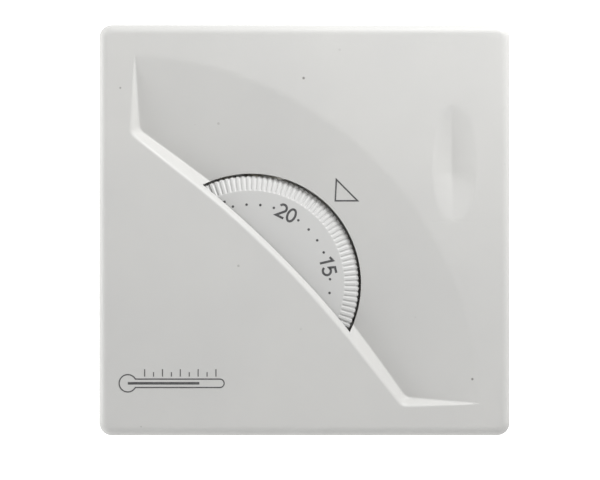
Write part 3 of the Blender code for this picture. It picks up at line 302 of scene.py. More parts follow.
class Nodes:
    """Short way to lay out a material's nodes."""

    def __init__(self, name: str) -> None:
        """Start a material with its shader and the object's own coordinates.

        Args:
            name: The material's name.
        """
        self.material = bpy.data.materials.new(name)
        self.material.use_nodes = True
        self.tree = self.material.node_tree
        self.shader = self.tree.nodes["Principled BSDF"]
        self.place = self.tree.nodes.new("ShaderNodeTexCoord").outputs["Object"]

    def link(self, output: bpy.types.NodeSocket, target: bpy.types.NodeSocket) -> None:
        """Join an output to an input."""
        self.tree.links.new(output, target)

    def noise(self, scale: float, detail: float = 3.0, stretch: Sequence[float] = (1.0, 1.0, 1.0),
              roughness: float = 0.5) -> bpy.types.NodeSocket:
        """Noise whose features are about 1 / scale metres across.

        Args:
            scale: Features in a metre.
            detail: Octaves.
            stretch: Factors on the coordinates, above 1 to shorten the features along an axis.
            roughness: Strength of the finer octaves.

        Returns:
            The noise's value.
        """
        mapping = self.tree.nodes.new("ShaderNodeMapping")
        mapping.inputs["Scale"].default_value = tuple(stretch)
        self.link(self.place, mapping.inputs["Vector"])
        made = self.tree.nodes.new("ShaderNodeTexNoise")
        made.inputs["Scale"].default_value = scale
        made.inputs["Detail"].default_value = detail
        made.inputs["Roughness"].default_value = roughness
        self.link(mapping.outputs["Vector"], made.inputs["Vector"])
        return made.outputs["Fac"]

    def spots(self, scale: float, low: float, high: float) -> bpy.types.NodeSocket:
        """Value that is 1 in small spots, one or fewer in each cell of 1 / scale metres, and 0 elsewhere.

        Args:
            scale: Cells in a metre.
            low: Distance from a spot's middle within which the value is 1, in cells.
            high: Distance past which it is 0.

        Returns:
            The value.
        """
        made = self.tree.nodes.new("ShaderNodeTexVoronoi")
        made.inputs["Scale"].default_value = scale
        self.link(self.place, made.inputs["Vector"])
        return self.ramp(made.outputs["Distance"], low, high, 1.0, 0.0)

    def ramp(self, value: bpy.types.NodeSocket, low: float, high: float, start: float,
             end: float) -> bpy.types.NodeSocket:
        """Map a value from low..high onto start..end, held at the ends.

        Args:
            value: The value to map.
            low: Value that gives the start.
            high: Value that gives the end.
            start: Result at the low value.
            end: Result at the high value.

        Returns:
            The mapped value.
        """
        made = self.tree.nodes.new("ShaderNodeMapRange")
        for name, number in (("From Min", low), ("From Max", high), ("To Min", start), ("To Max", end)):
            made.inputs[name].default_value = number
        self.link(value, made.inputs["Value"])
        return made.outputs["Result"]

    def times(self, a: bpy.types.NodeSocket, b: bpy.types.NodeSocket) -> bpy.types.NodeSocket:
        """Product of two values.

        Args:
            a: First value.
            b: Second value.

        Returns:
            Their product.
        """
        made = self.tree.nodes.new("ShaderNodeMath")
        made.operation = "MULTIPLY"
        self.link(a, made.inputs[0])
        self.link(b, made.inputs[1])
        return made.outputs["Value"]

    def mix(self, share: bpy.types.NodeSocket, first: bpy.types.NodeSocket | Sequence[float],
            second: Sequence[float]) -> bpy.types.NodeSocket:
        """Blend from a colour or a colour output to another colour.

        Args:
            share: 0 for the first colour, 1 for the second.
            first: Red, green and blue, or an output that gives a colour.
            second: Red, green and blue.

        Returns:
            The blended colour.
        """
        made = self.tree.nodes.new("ShaderNodeMix")
        made.data_type = "RGBA"
        self.link(share, made.inputs["Factor"])
        if isinstance(first, bpy.types.NodeSocket):
            self.link(first, made.inputs[MIX_FIRST])
        else:
            made.inputs[MIX_FIRST].default_value = (*first, 1.0)
        made.inputs[MIX_SECOND].default_value = (*second, 1.0)
        return made.outputs[MIX_RESULT]

    def bump(self, height: bpy.types.NodeSocket, depth: float,
             under: bpy.types.NodeSocket | None = None) -> bpy.types.NodeSocket:
        """Surface relief, laid over another relief.

        Args:
            height: Heights from 0 to 1.
            depth: Depth of the relief in metres.
            under: The relief below it.

        Returns:
            The surface's normal.
        """
        made = self.tree.nodes.new("ShaderNodeBump")
        made.inputs["Distance"].default_value = depth
        self.link(height, made.inputs["Height"])
        if under is not None:
            self.link(under, made.inputs["Normal"])
        return made.outputs["Normal"]


@dataclass(frozen=True)
class Moulded:
    """Moulded plastic with a fine grain, faint blotches, rubbed marks and a few specks."""

    name: str
    colour: tuple[float, float, float]
    blotch: tuple[float, float, float]
    speck: tuple[float, float, float] = (0.17, 0.16, 0.15)
    roughness: float = 0.46
    grain: float = 5200.0
    grain_depth: float = 0.006 * MM
    specks: float = 150.0
    fleck_share: float = 0.0
    translucency: float = 0.0

    def material(self) -> bpy.types.Material:
        """Lay out the plastic's nodes.

        Returns:
            The material.
        """
        nodes = Nodes(self.name)
        tint = nodes.mix(nodes.ramp(nodes.noise(38.0, 4.0), 0.35, 0.7, 0.0, 1.0), self.colour, self.blotch)
        if self.fleck_share > 0.0:
            flecks = nodes.ramp(nodes.noise(2300.0, 2.0), 0.55, 0.7, 0.0, self.fleck_share)
            tint = nodes.mix(flecks, tint, self.speck)
        spots = nodes.times(nodes.spots(self.specks, 0.028, 0.05),
                            nodes.ramp(nodes.noise(55.0, 1.0), 0.52, 0.6, 0.0, 0.8))
        nodes.link(nodes.mix(spots, tint, self.speck), nodes.shader.inputs["Base Color"])
        rubbed = nodes.noise(160.0, 5.0, (1.0, 1.0, 0.35), 0.65)
        polish = nodes.ramp(rubbed, 0.3, 0.75, self.roughness + 0.07, self.roughness - 0.09)
        nodes.link(polish, nodes.shader.inputs["Roughness"])
        relief = nodes.bump(nodes.noise(self.grain, 2.0), self.grain_depth)
        waves = nodes.bump(nodes.noise(90.0, 2.0), 0.02 * MM, relief)
        nodes.link(waves, nodes.shader.inputs["Normal"])
        if self.translucency > 0.0:
            nodes.shader.inputs["Subsurface Weight"].default_value = self.translucency
            nodes.shader.inputs["Subsurface Scale"].default_value = 1.0 * MM
        return nodes.material


@dataclass(frozen=True)
class Metal:
    """Metal with a cloudy plating or tarnish and fine marks along one direction."""

    name: str
    colour: tuple[float, float, float]
    tarnish: tuple[float, float, float]
    roughness: float = 0.32
    along: tuple[float, float, float] = (1.0, 1.0, 0.08)
    cloud: float = 260.0
    mark_depth: float = 0.004 * MM

    def material(self) -> bpy.types.Material:
        """Lay out the metal's nodes.

        Returns:
            The material.
        """
        nodes = Nodes(self.name)
        nodes.shader.inputs["Metallic"].default_value = 1.0
        clouds = nodes.noise(self.cloud, 5.0, roughness=0.6)
        tint = nodes.mix(nodes.ramp(clouds, 0.38, 0.68, 0.0, 1.0), self.colour, self.tarnish)
        nodes.link(tint, nodes.shader.inputs["Base Color"])
        marks = nodes.noise(5200.0, 3.0, self.along)
        dull = nodes.ramp(nodes.noise(self.cloud * 3.0, 3.0), 0.3, 0.7, self.roughness - 0.08,
                          self.roughness + 0.12)
        nodes.link(dull, nodes.shader.inputs["Roughness"])
        nodes.link(nodes.bump(marks, self.mark_depth), nodes.shader.inputs["Normal"])
        return nodes.material


@dataclass(frozen=True)
class Ink:
    """Matt printed ink, slightly uneven in cover."""

    name: str
    colour: tuple[float, float, float]
    thin: tuple[float, float, float]

    def material(self) -> bpy.types.Material:
        """Lay out the ink's nodes.

        Returns:
            The material.
        """
        nodes = Nodes(self.name)
        cover = nodes.ramp(nodes.noise(1400.0, 4.0), 0.4, 0.75, 0.0, 1.0)
        nodes.link(nodes.mix(cover, self.colour, self.thin), nodes.shader.inputs["Base Color"])
        nodes.link(nodes.ramp(cover, 0.0, 1.0, 0.55, 0.7), nodes.shader.inputs["Roughness"])
        return nodes.material


class Finish(Enum):
    """The finishes that the pieces take, each under the name of its slot in the record."""

    COVER = "cover_plastic"
    DIAL = "dial_plastic"
    BASE = "base_plastic"
    ZINC = "zinc_plated_steel"
    SPRING = "spring_steel"
    BRASS = "brass"
    BRONZE = "capsule_bronze"
    PHENOLIC = "phenolic"
    COPPER = "beryllium_copper"
    SILVER = "contact_silver"
    NYLON = "plunger_nylon"


INK = Ink("printed_ink", (0.07, 0.07, 0.072), (0.12, 0.12, 0.12))

RECIPES = {
    Finish.COVER: Moulded("cover_plastic", (0.585, 0.583, 0.57), (0.61, 0.607, 0.59)),
    Finish.DIAL: Moulded("dial_plastic", (0.59, 0.59, 0.58), (0.61, 0.61, 0.6), roughness=0.42, specks=90.0),
    Finish.BASE: Moulded("base_plastic", (0.56, 0.56, 0.545), (0.52, 0.52, 0.505), roughness=0.52,
                         grain=3400.0, grain_depth=0.01 * MM),
    Finish.ZINC: Metal("zinc_plated_steel", (0.62, 0.63, 0.65), (0.66, 0.62, 0.52)),
    Finish.SPRING: Metal("spring_steel", (0.5, 0.5, 0.5), (0.38, 0.36, 0.34), 0.28),
    Finish.BRASS: Metal("brass", (0.78, 0.6, 0.27), (0.62, 0.43, 0.18), 0.26),
    Finish.BRONZE: Metal("capsule_bronze", (0.72, 0.47, 0.27), (0.55, 0.32, 0.17), 0.3),
    Finish.PHENOLIC: Moulded("phenolic", (0.028, 0.02, 0.017), (0.04, 0.026, 0.02), (0.11, 0.06, 0.035), 0.38,
                             2600.0, 0.008 * MM, fleck_share=0.55),
    Finish.COPPER: Metal("beryllium_copper", (0.83, 0.55, 0.36), (0.68, 0.38, 0.22), 0.22),
    Finish.SILVER: Metal("contact_silver", (0.82, 0.81, 0.79), (0.56, 0.52, 0.46), 0.3),
    Finish.NYLON: Moulded("plunger_nylon", (0.68, 0.67, 0.6), (0.62, 0.6, 0.52), roughness=0.4,
                          translucency=0.15),
}


@cache
def material_of(recipe: Moulded | Metal | Ink) -> bpy.types.Material:
    """The material of a recipe, made once."""
    return recipe.material()


def dress(piece: bpy.types.Object, finish: Finish, body: str, replaces: Sequence[str] = (),
          recipe: Ink | None = None) -> bpy.types.Object:
    """Give a piece its material and its body, and hide the CAD nodes that it stands for.

    Args:
        piece: The finished piece.
        finish: Its finish, whose recipe gives the material unless another recipe is given; its value is the
            name of a slot in the record.
        body: The CAD body that it rides on.
        replaces: CAD nodes that it stands for.
        recipe: Look that it takes in place of the finish's own.

    Returns:
        The same piece.
    """
    piece.data.materials.clear()
    piece.data.materials.append(material_of(recipe or RECIPES[finish]))
    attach(piece, body)
    if replaces:
        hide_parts(*replaces)
    return piece


# ---------------------------------------------------------------- cover

# Where the cover's columns crowd: middle and half width of each hump in degrees, and its weight.
HUMPS = ((20.0, 31.0, 1.0), (165.0, 20.0, 1.5), (-75.0, 20.0, 1.5), (-135.0, 52.0, 0.7),
         (45.0, 4.0, 2.0), (140.1, 4.0, 3.0), (-50.1, 4.0, 3.0), (-135.0, 4.0, 2.0))
LEAST_STEP = 0.008 * MM
CREEP = 0.0001 * MM


@dataclass
class Cover:
    """Moulded cover: one closed surface from the wheel's opening, over the front and back inside.

    Columns are rays from a point in the opening. Rows follow the surface's own lines across them: the
    opening's edge, the foot of the recess's wall, its brink, the outline, the sides and the inside.
    """

    half: float
    back: float
    front: float
    dial: tuple[float, float]
    opening: float
    wall: float = 1.7 * MM
    skin: float = 1.6 * MM
    corner: float = 2.6 * MM
    rounding: float = 1.8 * MM
    vent_count: int = 11
    vent_width: float = 2.2 * MM
    vent_pitch: float = 5.2 * MM
    vent_low: float = 13.0 * MM
    vent_high: float = 27.0 * MM
    cone: float = -36.9 * MM
    reach: float = 72.2 * MM
    slope: float = 0.157
    steepness: float = math.tan(math.radians(60.0))
    tip: tuple[float, float] = (-34.3 * MM, 38.0 * MM)
    turn: tuple[float, float] = (-34.84 * MM, 19.6 * MM)
    bend: tuple[float, float] = (-14.04 * MM, 3.14 * MM)
    low_turn: tuple[float, float] = (19.8 * MM, -35.25 * MM)
    low_tip: tuple[float, float] = (38.0 * MM, -35.1 * MM)
    turn_blend: float = 0.9 * MM
    bend_blend: float = 1.4 * MM
    foot_blend: float = 0.5 * MM
    brink_blend: float = 1.05 * MM
    brink_depth: float = 2.2 * MM
    crease_blend: float = 0.11 * MM
    crease_start: float = 1.2 * MM
    lip: float = 0.35 * MM
    star: float = 3.5 * MM
    column_count: int = 720
    pieces: list[bpy.types.Object] = field(default_factory=list)

    # ---- fields over the front, as functions of x and y

    def line(self, x: Array, y: Array, start: tuple[float, float], end: tuple[float, float]) -> Array:
        """Distance to the left of the line from start to end: cross(end - start, point - start) / length."""
        dx, dy = end[0] - start[0], end[1] - start[1]
        return (dx * (y - start[1]) - dy * (x - start[0])) / math.hypot(dx, dy)

    def past_brink(self, x: Array, y: Array) -> Array:
        """Distance into the recess from its brink.

        The larger of the three middle lines' distances, and the smaller of that and the two end lines',
        each pair rounded where they meet.

        Args:
            x: Places to the right.
            y: Places upwards.

        Returns:
            Distances, positive in the recess.
        """
        other_bend, other_turn, other_tip = self.bend[::-1], self.low_turn, self.low_tip
        middle = soft_max(self.line(x, y, self.turn, self.bend), self.line(x, y, self.bend, other_bend),
                          self.bend_blend)
        middle = soft_max(middle, self.line(x, y, other_bend, other_turn), self.bend_blend)
        ended = soft_min(self.line(x, y, self.tip, self.turn), middle, self.turn_blend)
        return soft_min(ended, self.line(x, y, other_turn, other_tip), self.turn_blend)

    def past_crease(self, x: Array, y: Array) -> Array:
        """Distance inside the circle where the conical floor meets the front: reach - radius."""
        return self.reach - np.hypot(x - self.cone, y - self.cone)

    def past_opening(self, x: Array, y: Array) -> Array:
        """Distance inside the wheel's round opening."""
        return self.opening - np.hypot(x - self.dial[0], y - self.dial[1])

    def inside_outline(self, x: Array, y: Array) -> Array:
        """Distance inside the cover's outline, a square with round corners.

        Args:
            x: Places to the right.
            y: Places upwards.

        Returns:
            Distances, positive inside.
        """
        core = self.half - self.corner
        past_x, past_y = np.abs(x) - core, np.abs(y) - core
        outer = np.hypot(np.maximum(past_x, 0.0), np.maximum(past_y, 0.0))
        return self.corner - outer - np.minimum(np.maximum(past_x, past_y), 0.0)

    def surface(self, x: Array, y: Array) -> Array:
        """Height of the front.

        The recess is the larger of the cone front - slope (reach - radius) and the wall front -
        steepness (distance from the brink). The front is the smaller of the plane and the recess, with a
        narrow blend at the crease and one at the brink that widens with the recess's depth, less the scoop.

        Args:
            x: Places to the right.
            y: Places upwards.

        Returns:
            Heights out of the wall.
        """
        floor = self.front - self.slope * self.past_crease(x, y)
        wall = self.front - self.steepness * self.past_brink(x, y)
        recess = soft_max(floor, wall, self.foot_blend)
        steep = np.clip(0.5 + 0.5 * (wall - floor) / self.foot_blend, 0.0, 1.0)
        depth = np.clip((self.front - floor) / self.brink_depth, 0.12, 1.0)
        blend = self.crease_blend + (self.brink_blend * depth - self.crease_blend) * steep
        return soft_min(self.front, recess, blend) - Scoop().depth(x, y)

    def lining(self, x: Array, y: Array) -> Array:
        """Height of the inner face: level, and lower under the recess and the scoop.

        Args:
            x: Places to the right.
            y: Places upwards.

        Returns:
            Heights out of the wall.
        """
        floor = self.front - self.skin - self.slope * self.past_crease(x, y)
        wall = self.front - 2.0 * self.skin - self.steepness * self.past_brink(x, y)
        sunk = soft_max(floor, wall, self.foot_blend)
        return soft_min(soft_min(self.front - self.skin, sunk, self.crease_blend),
                        self.front - Scoop().pad(x, y, self.skin), self.crease_blend)

    # ---- rays from the star point

    def meet(self, region: Field, angles: Array, level: float = 0.0) -> Array:
        """Radius at which each ray leaves the region where a field exceeds a level, by bisection.

        Args:
            region: Field over x and y.
            angles: The rays' angles.
            level: The level to find.

        Returns:
            Radii from the star point.
        """
        low, high = np.zeros_like(angles), np.full_like(angles, 3.0 * self.half)
        for _ in range(BISECTIONS):
            middle = (low + high) / 2.0
            within = region(*self.on_ray(middle, angles)) > level
            low, high = np.where(within, middle, low), np.where(within, high, middle)
        return low

    def on_ray(self, radius: Array, angles: Array) -> tuple[Array, Array]:
        """x and y at a radius along each ray."""
        return self.star + radius * np.cos(angles), self.star + radius * np.sin(angles)

    def to_lip(self, angles: Array) -> Array:
        """Radius at which the recess's wall has come down to the lip over the wheel."""
        return self.meet(self.past_brink, angles, (self.skin - self.lip) / self.steepness)

    def edge(self, angles: Array) -> Array:
        """Radius of the opening's edge: the wheel's circle or the lip, whichever is nearer."""
        return np.minimum(self.meet(self.past_opening, angles), self.to_lip(angles))

    def brink_or_crease(self, angles: Array, inwards: float, crease_inwards: float) -> Array:
        """Radius of the recess's boundary, moved inwards by a distance at the brink and one at the crease."""
        return np.minimum(self.meet(self.past_brink, angles, inwards),
                          self.meet(self.past_crease, angles, crease_inwards))

    def foot(self, angles: Array) -> Array:
        """Radius where the wall meets the cone, and the start of the crease's blend elsewhere.

        Args:
            angles: The rays' angles.

        Returns:
            Radii from the star point.
        """
        def above_floor(x: Array, y: Array) -> Array:
            """How far the cone lies over the wall's plane."""
            return self.steepness * self.past_brink(x, y) - self.slope * self.past_crease(x, y)
        at_crease = self.meet(self.past_crease, angles, self.crease_start)
        return np.minimum(self.meet(above_floor, angles), at_crease)

    def vent_edges(self) -> Array:
        """Edges of the vent slots.

        Returns:
            x of both edges of each slot, in order.
        """
        first = -(self.vent_count - 1) / 2 * self.vent_pitch
        middles = first + self.vent_pitch * np.arange(self.vent_count)
        return (middles[:, None] + self.vent_width / 2 * np.array([-1.0, 1.0])).ravel()

    def angles(self) -> Array:
        """Angles of the columns.

        They are equal steps of the running sum of a density with humps over the scoop and the long
        stretches of the brink. The nearest ones are then moved onto the vents' edges and onto the
        corners of the opening and of the recess.

        Returns:
            Increasing angles over a whole turn.
        """
        fine = np.linspace(-math.pi, math.pi, 7201)
        density = np.full_like(fine, 0.5)
        for middle, spread, weight in HUMPS:
            away = np.abs((fine - math.radians(middle) + math.pi) % math.tau - math.pi)
            density += weight * soft_step((math.radians(spread) - away) / math.radians(4.0) + 0.5)
        total = np.concatenate([[0.0], np.cumsum((density[1:] + density[:-1]) / 2.0)])
        steps = np.linspace(0.0, total[-1], self.column_count, endpoint=False)
        angles = np.interp(steps, total, fine)
        arcs = self.meet(self.past_opening, fine) - self.to_lip(fine)
        rims = self.meet(self.past_crease, fine) - self.meet(self.past_brink, fine)
        corners = [fine[:-1][np.sign(gap[:-1]) != np.sign(gap[1:])] for gap in (arcs, rims)]
        upper = self.half - self.rounding - self.star
        lower = upper - 2 * (upper + self.star)
        edges = self.vent_edges() - self.star
        wanted = np.concatenate([*corners, np.arctan2(upper, edges), np.arctan2(lower, edges)])
        angles[np.abs(angles[:, None] - wanted[None, :]).argmin(axis=0)] = wanted
        return np.sort(angles)

    # ---- rows of the surface

    def front_rows(self, angles: Array) -> Array:
        """Rows from the opening's edge to the outline, before its rounding.

        A point is star + radius (cos a, sin a) at the height of the front, where the radius goes in
        equal shares between the surface's own lines.

        Args:
            angles: The columns' angles.

        Returns:
            Points of shape (rows, columns, 3).
        """
        edge = self.edge(angles)
        foot = self.foot(angles)
        brink = self.brink_or_crease(angles, 0.0, 0.0)
        outline = self.meet(self.inside_outline, angles, self.rounding)
        apron = self.brink_or_crease(angles, -0.9 * MM, -1.4 * MM)
        near, far = Scoop().span(angles, self.star, apron, outline)
        stops = [(edge, 3), (edge + 0.25 * MM, 10), (foot - 0.9 * MM, 4), (foot, 4), (foot + 0.5 * MM, 5),
                 (brink - 0.35 * MM, 5), (brink, 5), (apron, 5), (near, 36), (far, 4)]
        radii = []
        for (start, count), (end, _) in zip(stops, stops[1:] + [(outline, 0)]):
            share = np.arange(count)[:, None] / count
            radii.append(start + (end - start) * share)
        radius = np.concatenate([*radii, outline[None, :]])
        number = np.arange(len(radius))[:, None]
        radius = np.maximum(radius, edge + LEAST_STEP * number) + CREEP * number
        radius = np.minimum(np.maximum.accumulate(radius, axis=0), outline)
        x, y = self.on_ray(radius, angles)
        return np.stack([x, y, self.surface(x, y)], axis=-1)

    def side_rows(self, outline: Array) -> tuple[Array, list[float]]:
        """Rows over the rounded front edge, down the outside, round the back edge and up the inside.

        A point is core + (corner - inset) normal, at its row's height, where the core is the outline's
        point moved in to the square of the corners' centres.

        Args:
            outline: Points of the front's last row, of shape (columns, 3).

        Returns:
            Points of shape (rows, columns, 3) and the rows' heights.
        """
        core = np.clip(outline[:, :2], -(self.half - self.corner), self.half - self.corner)
        normal = outline[:, :2] - core
        normal /= np.hypot(normal[:, 0], normal[:, 1])[:, None]
        turns = np.linspace(0.0, math.pi / 2, 9)[1:]
        rows = [(self.rounding * (1 - math.sin(a)), self.front - self.rounding * (1 - math.cos(a)))
                for a in turns]
        middle = (self.vent_low + self.vent_high) / 2
        ease = 0.3 * MM
        rows += [(0.0, self.vent_high), (0.0, middle), (0.0, self.vent_low), (0.0, self.back + ease),
                 (0.1 * ease, self.back + 0.6 * ease), (0.4 * ease, self.back + 0.2 * ease),
                 (ease, self.back),
                 (self.wall - ease, self.back), (self.wall, self.back + ease), (self.wall, self.vent_low),
                 (self.wall, middle), (self.wall, self.vent_high)]
        under = self.front - self.skin
        rows += [(self.wall, under - 2 * ease), (self.wall + 0.6 * ease, under - 0.6 * ease),
                 (self.wall + 2 * ease, under)]
        inset, height = np.array(rows).T
        flat = core[None] + (self.corner - inset)[:, None, None] * normal[None]
        rise = np.broadcast_to(height[:, None, None], (*flat.shape[:2], 1))
        return np.concatenate([flat, rise], axis=-1), list(height)

    def inside_rows(self, angles: Array, start: Array, edge: Array) -> Array:
        """Rows over the inside of the front, from the sides back to the opening's edge.

        A point goes in equal shares from the last point of the sides, over the lining's own lines, to
        the edge, at the height of the lining. Beside the brink the edge stays level.

        Args:
            angles: The columns' angles.
            start: Points where the inner side ends, of shape (columns, 3).
            edge: Points of the opening's edge, of shape (columns, 3).

        Returns:
            Points of shape (rows, columns, 3).
        """
        level = self.front - self.skin
        outer = self.brink_or_crease(angles, -2.2 * MM, 0.4 * MM)
        rim = np.hypot(edge[:, 0] - self.star, edge[:, 1] - self.star)
        foot = np.maximum(self.foot(angles), rim) + 0.2 * MM
        outer = np.maximum(outer, foot + 0.2 * MM)
        stops = [start[:, :2], np.stack(self.on_ray(outer, angles), axis=-1),
                 np.stack(self.on_ray(foot, angles), axis=-1), edge[:, :2]]
        parts = [a + (b - a) * (np.arange(1, n + 1)[:, None, None] / n) for a, b, n in
                 zip(stops, stops[1:], (8, 9, 8))]
        flat = np.concatenate(parts)
        height = self.lining(flat[..., 0], flat[..., 1])
        within = self.past_opening(flat[..., 0], flat[..., 1])
        at_brink = edge[:, 2] > level
        level_part = np.where(at_brink[None, :], soft_step(within / (0.4 * MM) + 1.0), 0.0)
        height = height + (level - height) * level_part
        limit = np.where(at_brink, level, edge[:, 2] - 0.5 * self.skin)[None, :]
        height = np.where(within > -0.1 * MM, np.minimum(height, limit), height)
        return np.concatenate([flat, height[..., None]], axis=-1)

    def vents(self, cells: Array, points: Array, high: int, low: int, inner_low: int,
              inner_high: int) -> list[Array]:
        """Cut the slots through both walls and close their reveals.

        Args:
            cells: Quads of the whole grid, of shape (rows, columns, 4).
            points: Points of the grid, of shape (rows, columns, 3).
            high: Outer row at the slots' top.
            low: Outer row at their bottom.
            inner_low: Inner row at their bottom.
            inner_high: Inner row at their top.

        Returns:
            The cells that stay, and the reveals.
        """
        columns = points.shape[1]
        following = (np.arange(columns) + 1) % columns
        x = (points[high, :, 0] + points[high, following, 0]) / 2
        y = (points[high, :, 1] + points[high, following, 1]) / 2
        edges = self.vent_edges()
        slotted = (np.abs(y) > self.half - self.wall / 2) & (np.searchsorted(edges, x) % 2 == 1)
        keep = np.ones(cells.shape[:2], dtype=bool)
        keep[high:low] &= ~slotted
        keep[inner_low:inner_high] &= ~slotted
        here = np.flatnonzero(slotted)
        after = following[here]
        number = np.arange(points.shape[0] * columns).reshape(points.shape[:2])
        faces = [cells[keep],
                 np.stack([number[high, here], number[high, after], number[inner_high, after],
                           number[inner_high, here]], axis=-1),
                 np.stack([number[low, after], number[low, here], number[inner_low, here],
                           number[inner_low, after]], axis=-1)]
        outer = np.arange(high, low)
        inner = inner_high - (outer - high)
        opens = np.flatnonzero(slotted & ~np.roll(slotted, 1))
        shuts = np.flatnonzero(~slotted & np.roll(slotted, 1))
        for column in opens:
            faces.append(np.stack([number[outer + 1, column], number[outer, column],
                                   number[inner, column], number[inner - 1, column]], axis=-1))
        for column in shuts:
            faces.append(np.stack([number[outer, column], number[outer + 1, column],
                                   number[inner - 1, column], number[inner, column]], axis=-1))
        return faces

    def build(self) -> None:
        """Make the cover's surface and dress it."""
        angles = self.angles()
        front = self.front_rows(angles)
        sides, heights = self.side_rows(front[-1])
        inside = self.inside_rows(angles, sides[-1], front[0])
        lip = front[0] - np.array([0.0, 0.0, 0.1 * MM])
        points = np.concatenate([front[1:], sides, inside, lip[None]])
        first_side = len(front) - 1
        high = first_side + heights.index(self.vent_high)
        inner_high = first_side + len(heights) - 1 - heights[::-1].index(self.vent_high)
        rows, columns = points.shape[:2]
        cells = grid_quads(rows, columns, wrap_rows=True).reshape(rows, columns, 4)
        blocks = self.vents(cells, points, high, high + 2, inner_high - 2, inner_high)
        faces = [block[..., ::-1] for block in blocks]
        made = make_object("cover_moulding", points, faces, 50.0)
        self.pieces.append(dress(made, Finish.COVER, "cover", ["front_cover"]))


@dataclass(frozen=True)
class Scoop:
    """Thumb scoop: a straight crease with a steep facet on its left and a hollowed one on its right."""

    crease: float = 29.8 * MM
    left: float = 3.9 * MM
    right: float = 4.9 * MM
    top: float = 25.4 * MM
    deepest: float = 11.5 * MM
    bottom: float = 1.8 * MM
    sink: float = 1.35 * MM
    blend: float = 0.07 * MM
    fade: float = 0.35 * MM

    def box(self) -> tuple[float, float, float, float]:
        """x and y of the middle of the scoop's box, its half width and its half height."""
        return (self.crease + (self.right - self.left) / 2, (self.top + self.bottom) / 2,
                (self.left + self.right) / 2, (self.top - self.bottom) / 2)

    def depth(self, x: Array, y: Array) -> Array:
        """How far the scoop lies under the front.

        Along y the crease sinks from the top to its deepest place and rises faster to the bottom. Across
        it, the depth falls in a straight line to the left outline. To the right one it is a power of what
        such a line gives: 1.05 in the upper part, and 0.7 in the lower, where it drops faster near the
        outline. The half widths are left and right times (1 - |v|^2.6)^(1/2) for v from -1 to 1 along y.

        Args:
            x: Places to the right.
            y: Places upwards.

        Returns:
            Depths, 0 outside the scoop.
        """
        _, middle, _, reach = self.box()
        v = np.clip((y - middle) / reach, -1.0, 1.0)
        narrowing = np.sqrt(np.maximum(1.0 - np.abs(v) ** 2.6, 1e-6))
        upper = 1.0 - np.clip((y - self.deepest) / (self.top - self.deepest), 0.0, 1.0) ** 1.6
        lower = np.clip((y - self.bottom) / (self.deepest - self.bottom), 0.0, 1.0)
        along = self.sink * soft_min(upper, lower, 0.15)
        to_left = 1.0 - (self.crease - x) / (self.left * narrowing)
        to_right = 1.0 - (x - self.crease) / (self.right * narrowing)
        power = 1.05 - 0.35 * soft_step((self.deepest - y) / (5.0 * MM) + 0.4)
        hollow = np.sign(to_right) * np.abs(to_right) ** power
        across = soft_min(to_left, hollow, 0.12)
        sunk = along * across
        rounded = soft_max(sunk, np.zeros_like(sunk), self.blend)
        return rounded * soft_step((self.fade + self.margin(x, y)) / self.fade)

    def margin(self, x: Array, y: Array) -> Array:
        """Rough distance inside the scoop's bounding box."""
        middle_x, middle_y, reach_x, reach_y = self.box()
        return np.minimum(reach_x - np.abs(x - middle_x), reach_y - np.abs(y - middle_y))

    def pad(self, x: Array, y: Array, skin: float) -> Array:
        """Depth of the inner face behind the scoop: the lower half of an ellipsoid.

        Args:
            x: Places to the right.
            y: Places upwards.
            skin: Thickness of the cover's front.

        Returns:
            Depths under the front, 0 away from the scoop.
        """
        middle_x, middle_y, reach_x, reach_y = self.box()
        share = ((x - middle_x) / (reach_x + skin)) ** 2 + ((y - middle_y) / (reach_y + skin)) ** 2
        return (skin + self.sink) * np.sqrt(np.clip(1.0 - share, 0.0, 1.0))

    def span(self, angles: Array, star: float, start: Array, end: Array) -> tuple[Array, Array]:
        """Radii between which the rows bunch, so that they cover the scoop closely.

        Args:
            angles: The columns' angles.
            star: x and y of the point that the rays leave.
            start: Inner limit of the radii.
            end: Outer limit of the radii.

        Returns:
            Inner and outer radius of the bunch for each column.
        """
        middle, spread, blend = (math.radians(degrees) for degrees in (20.0, 45.0, 16.0))
        here = soft_step((spread - np.abs(angles - middle)) / blend)
        across = np.maximum(np.cos(angles), 0.3)
        spare = 0.4 * MM
        near = (self.crease - self.left - spare - star) / across
        far = (self.crease + self.right + spare - star) / across
        default_near, default_far = start + (end - start) * 0.1, start + (end - start) * 0.9
        near = np.clip(default_near + (near - default_near) * here, start + 0.3 * MM, end - 1.0 * MM)
        far = np.clip(default_far + (far - default_far) * here, near + 0.3 * MM, end - 0.3 * MM)
        return near, far


# ---------------------------------------------------------------- wheel

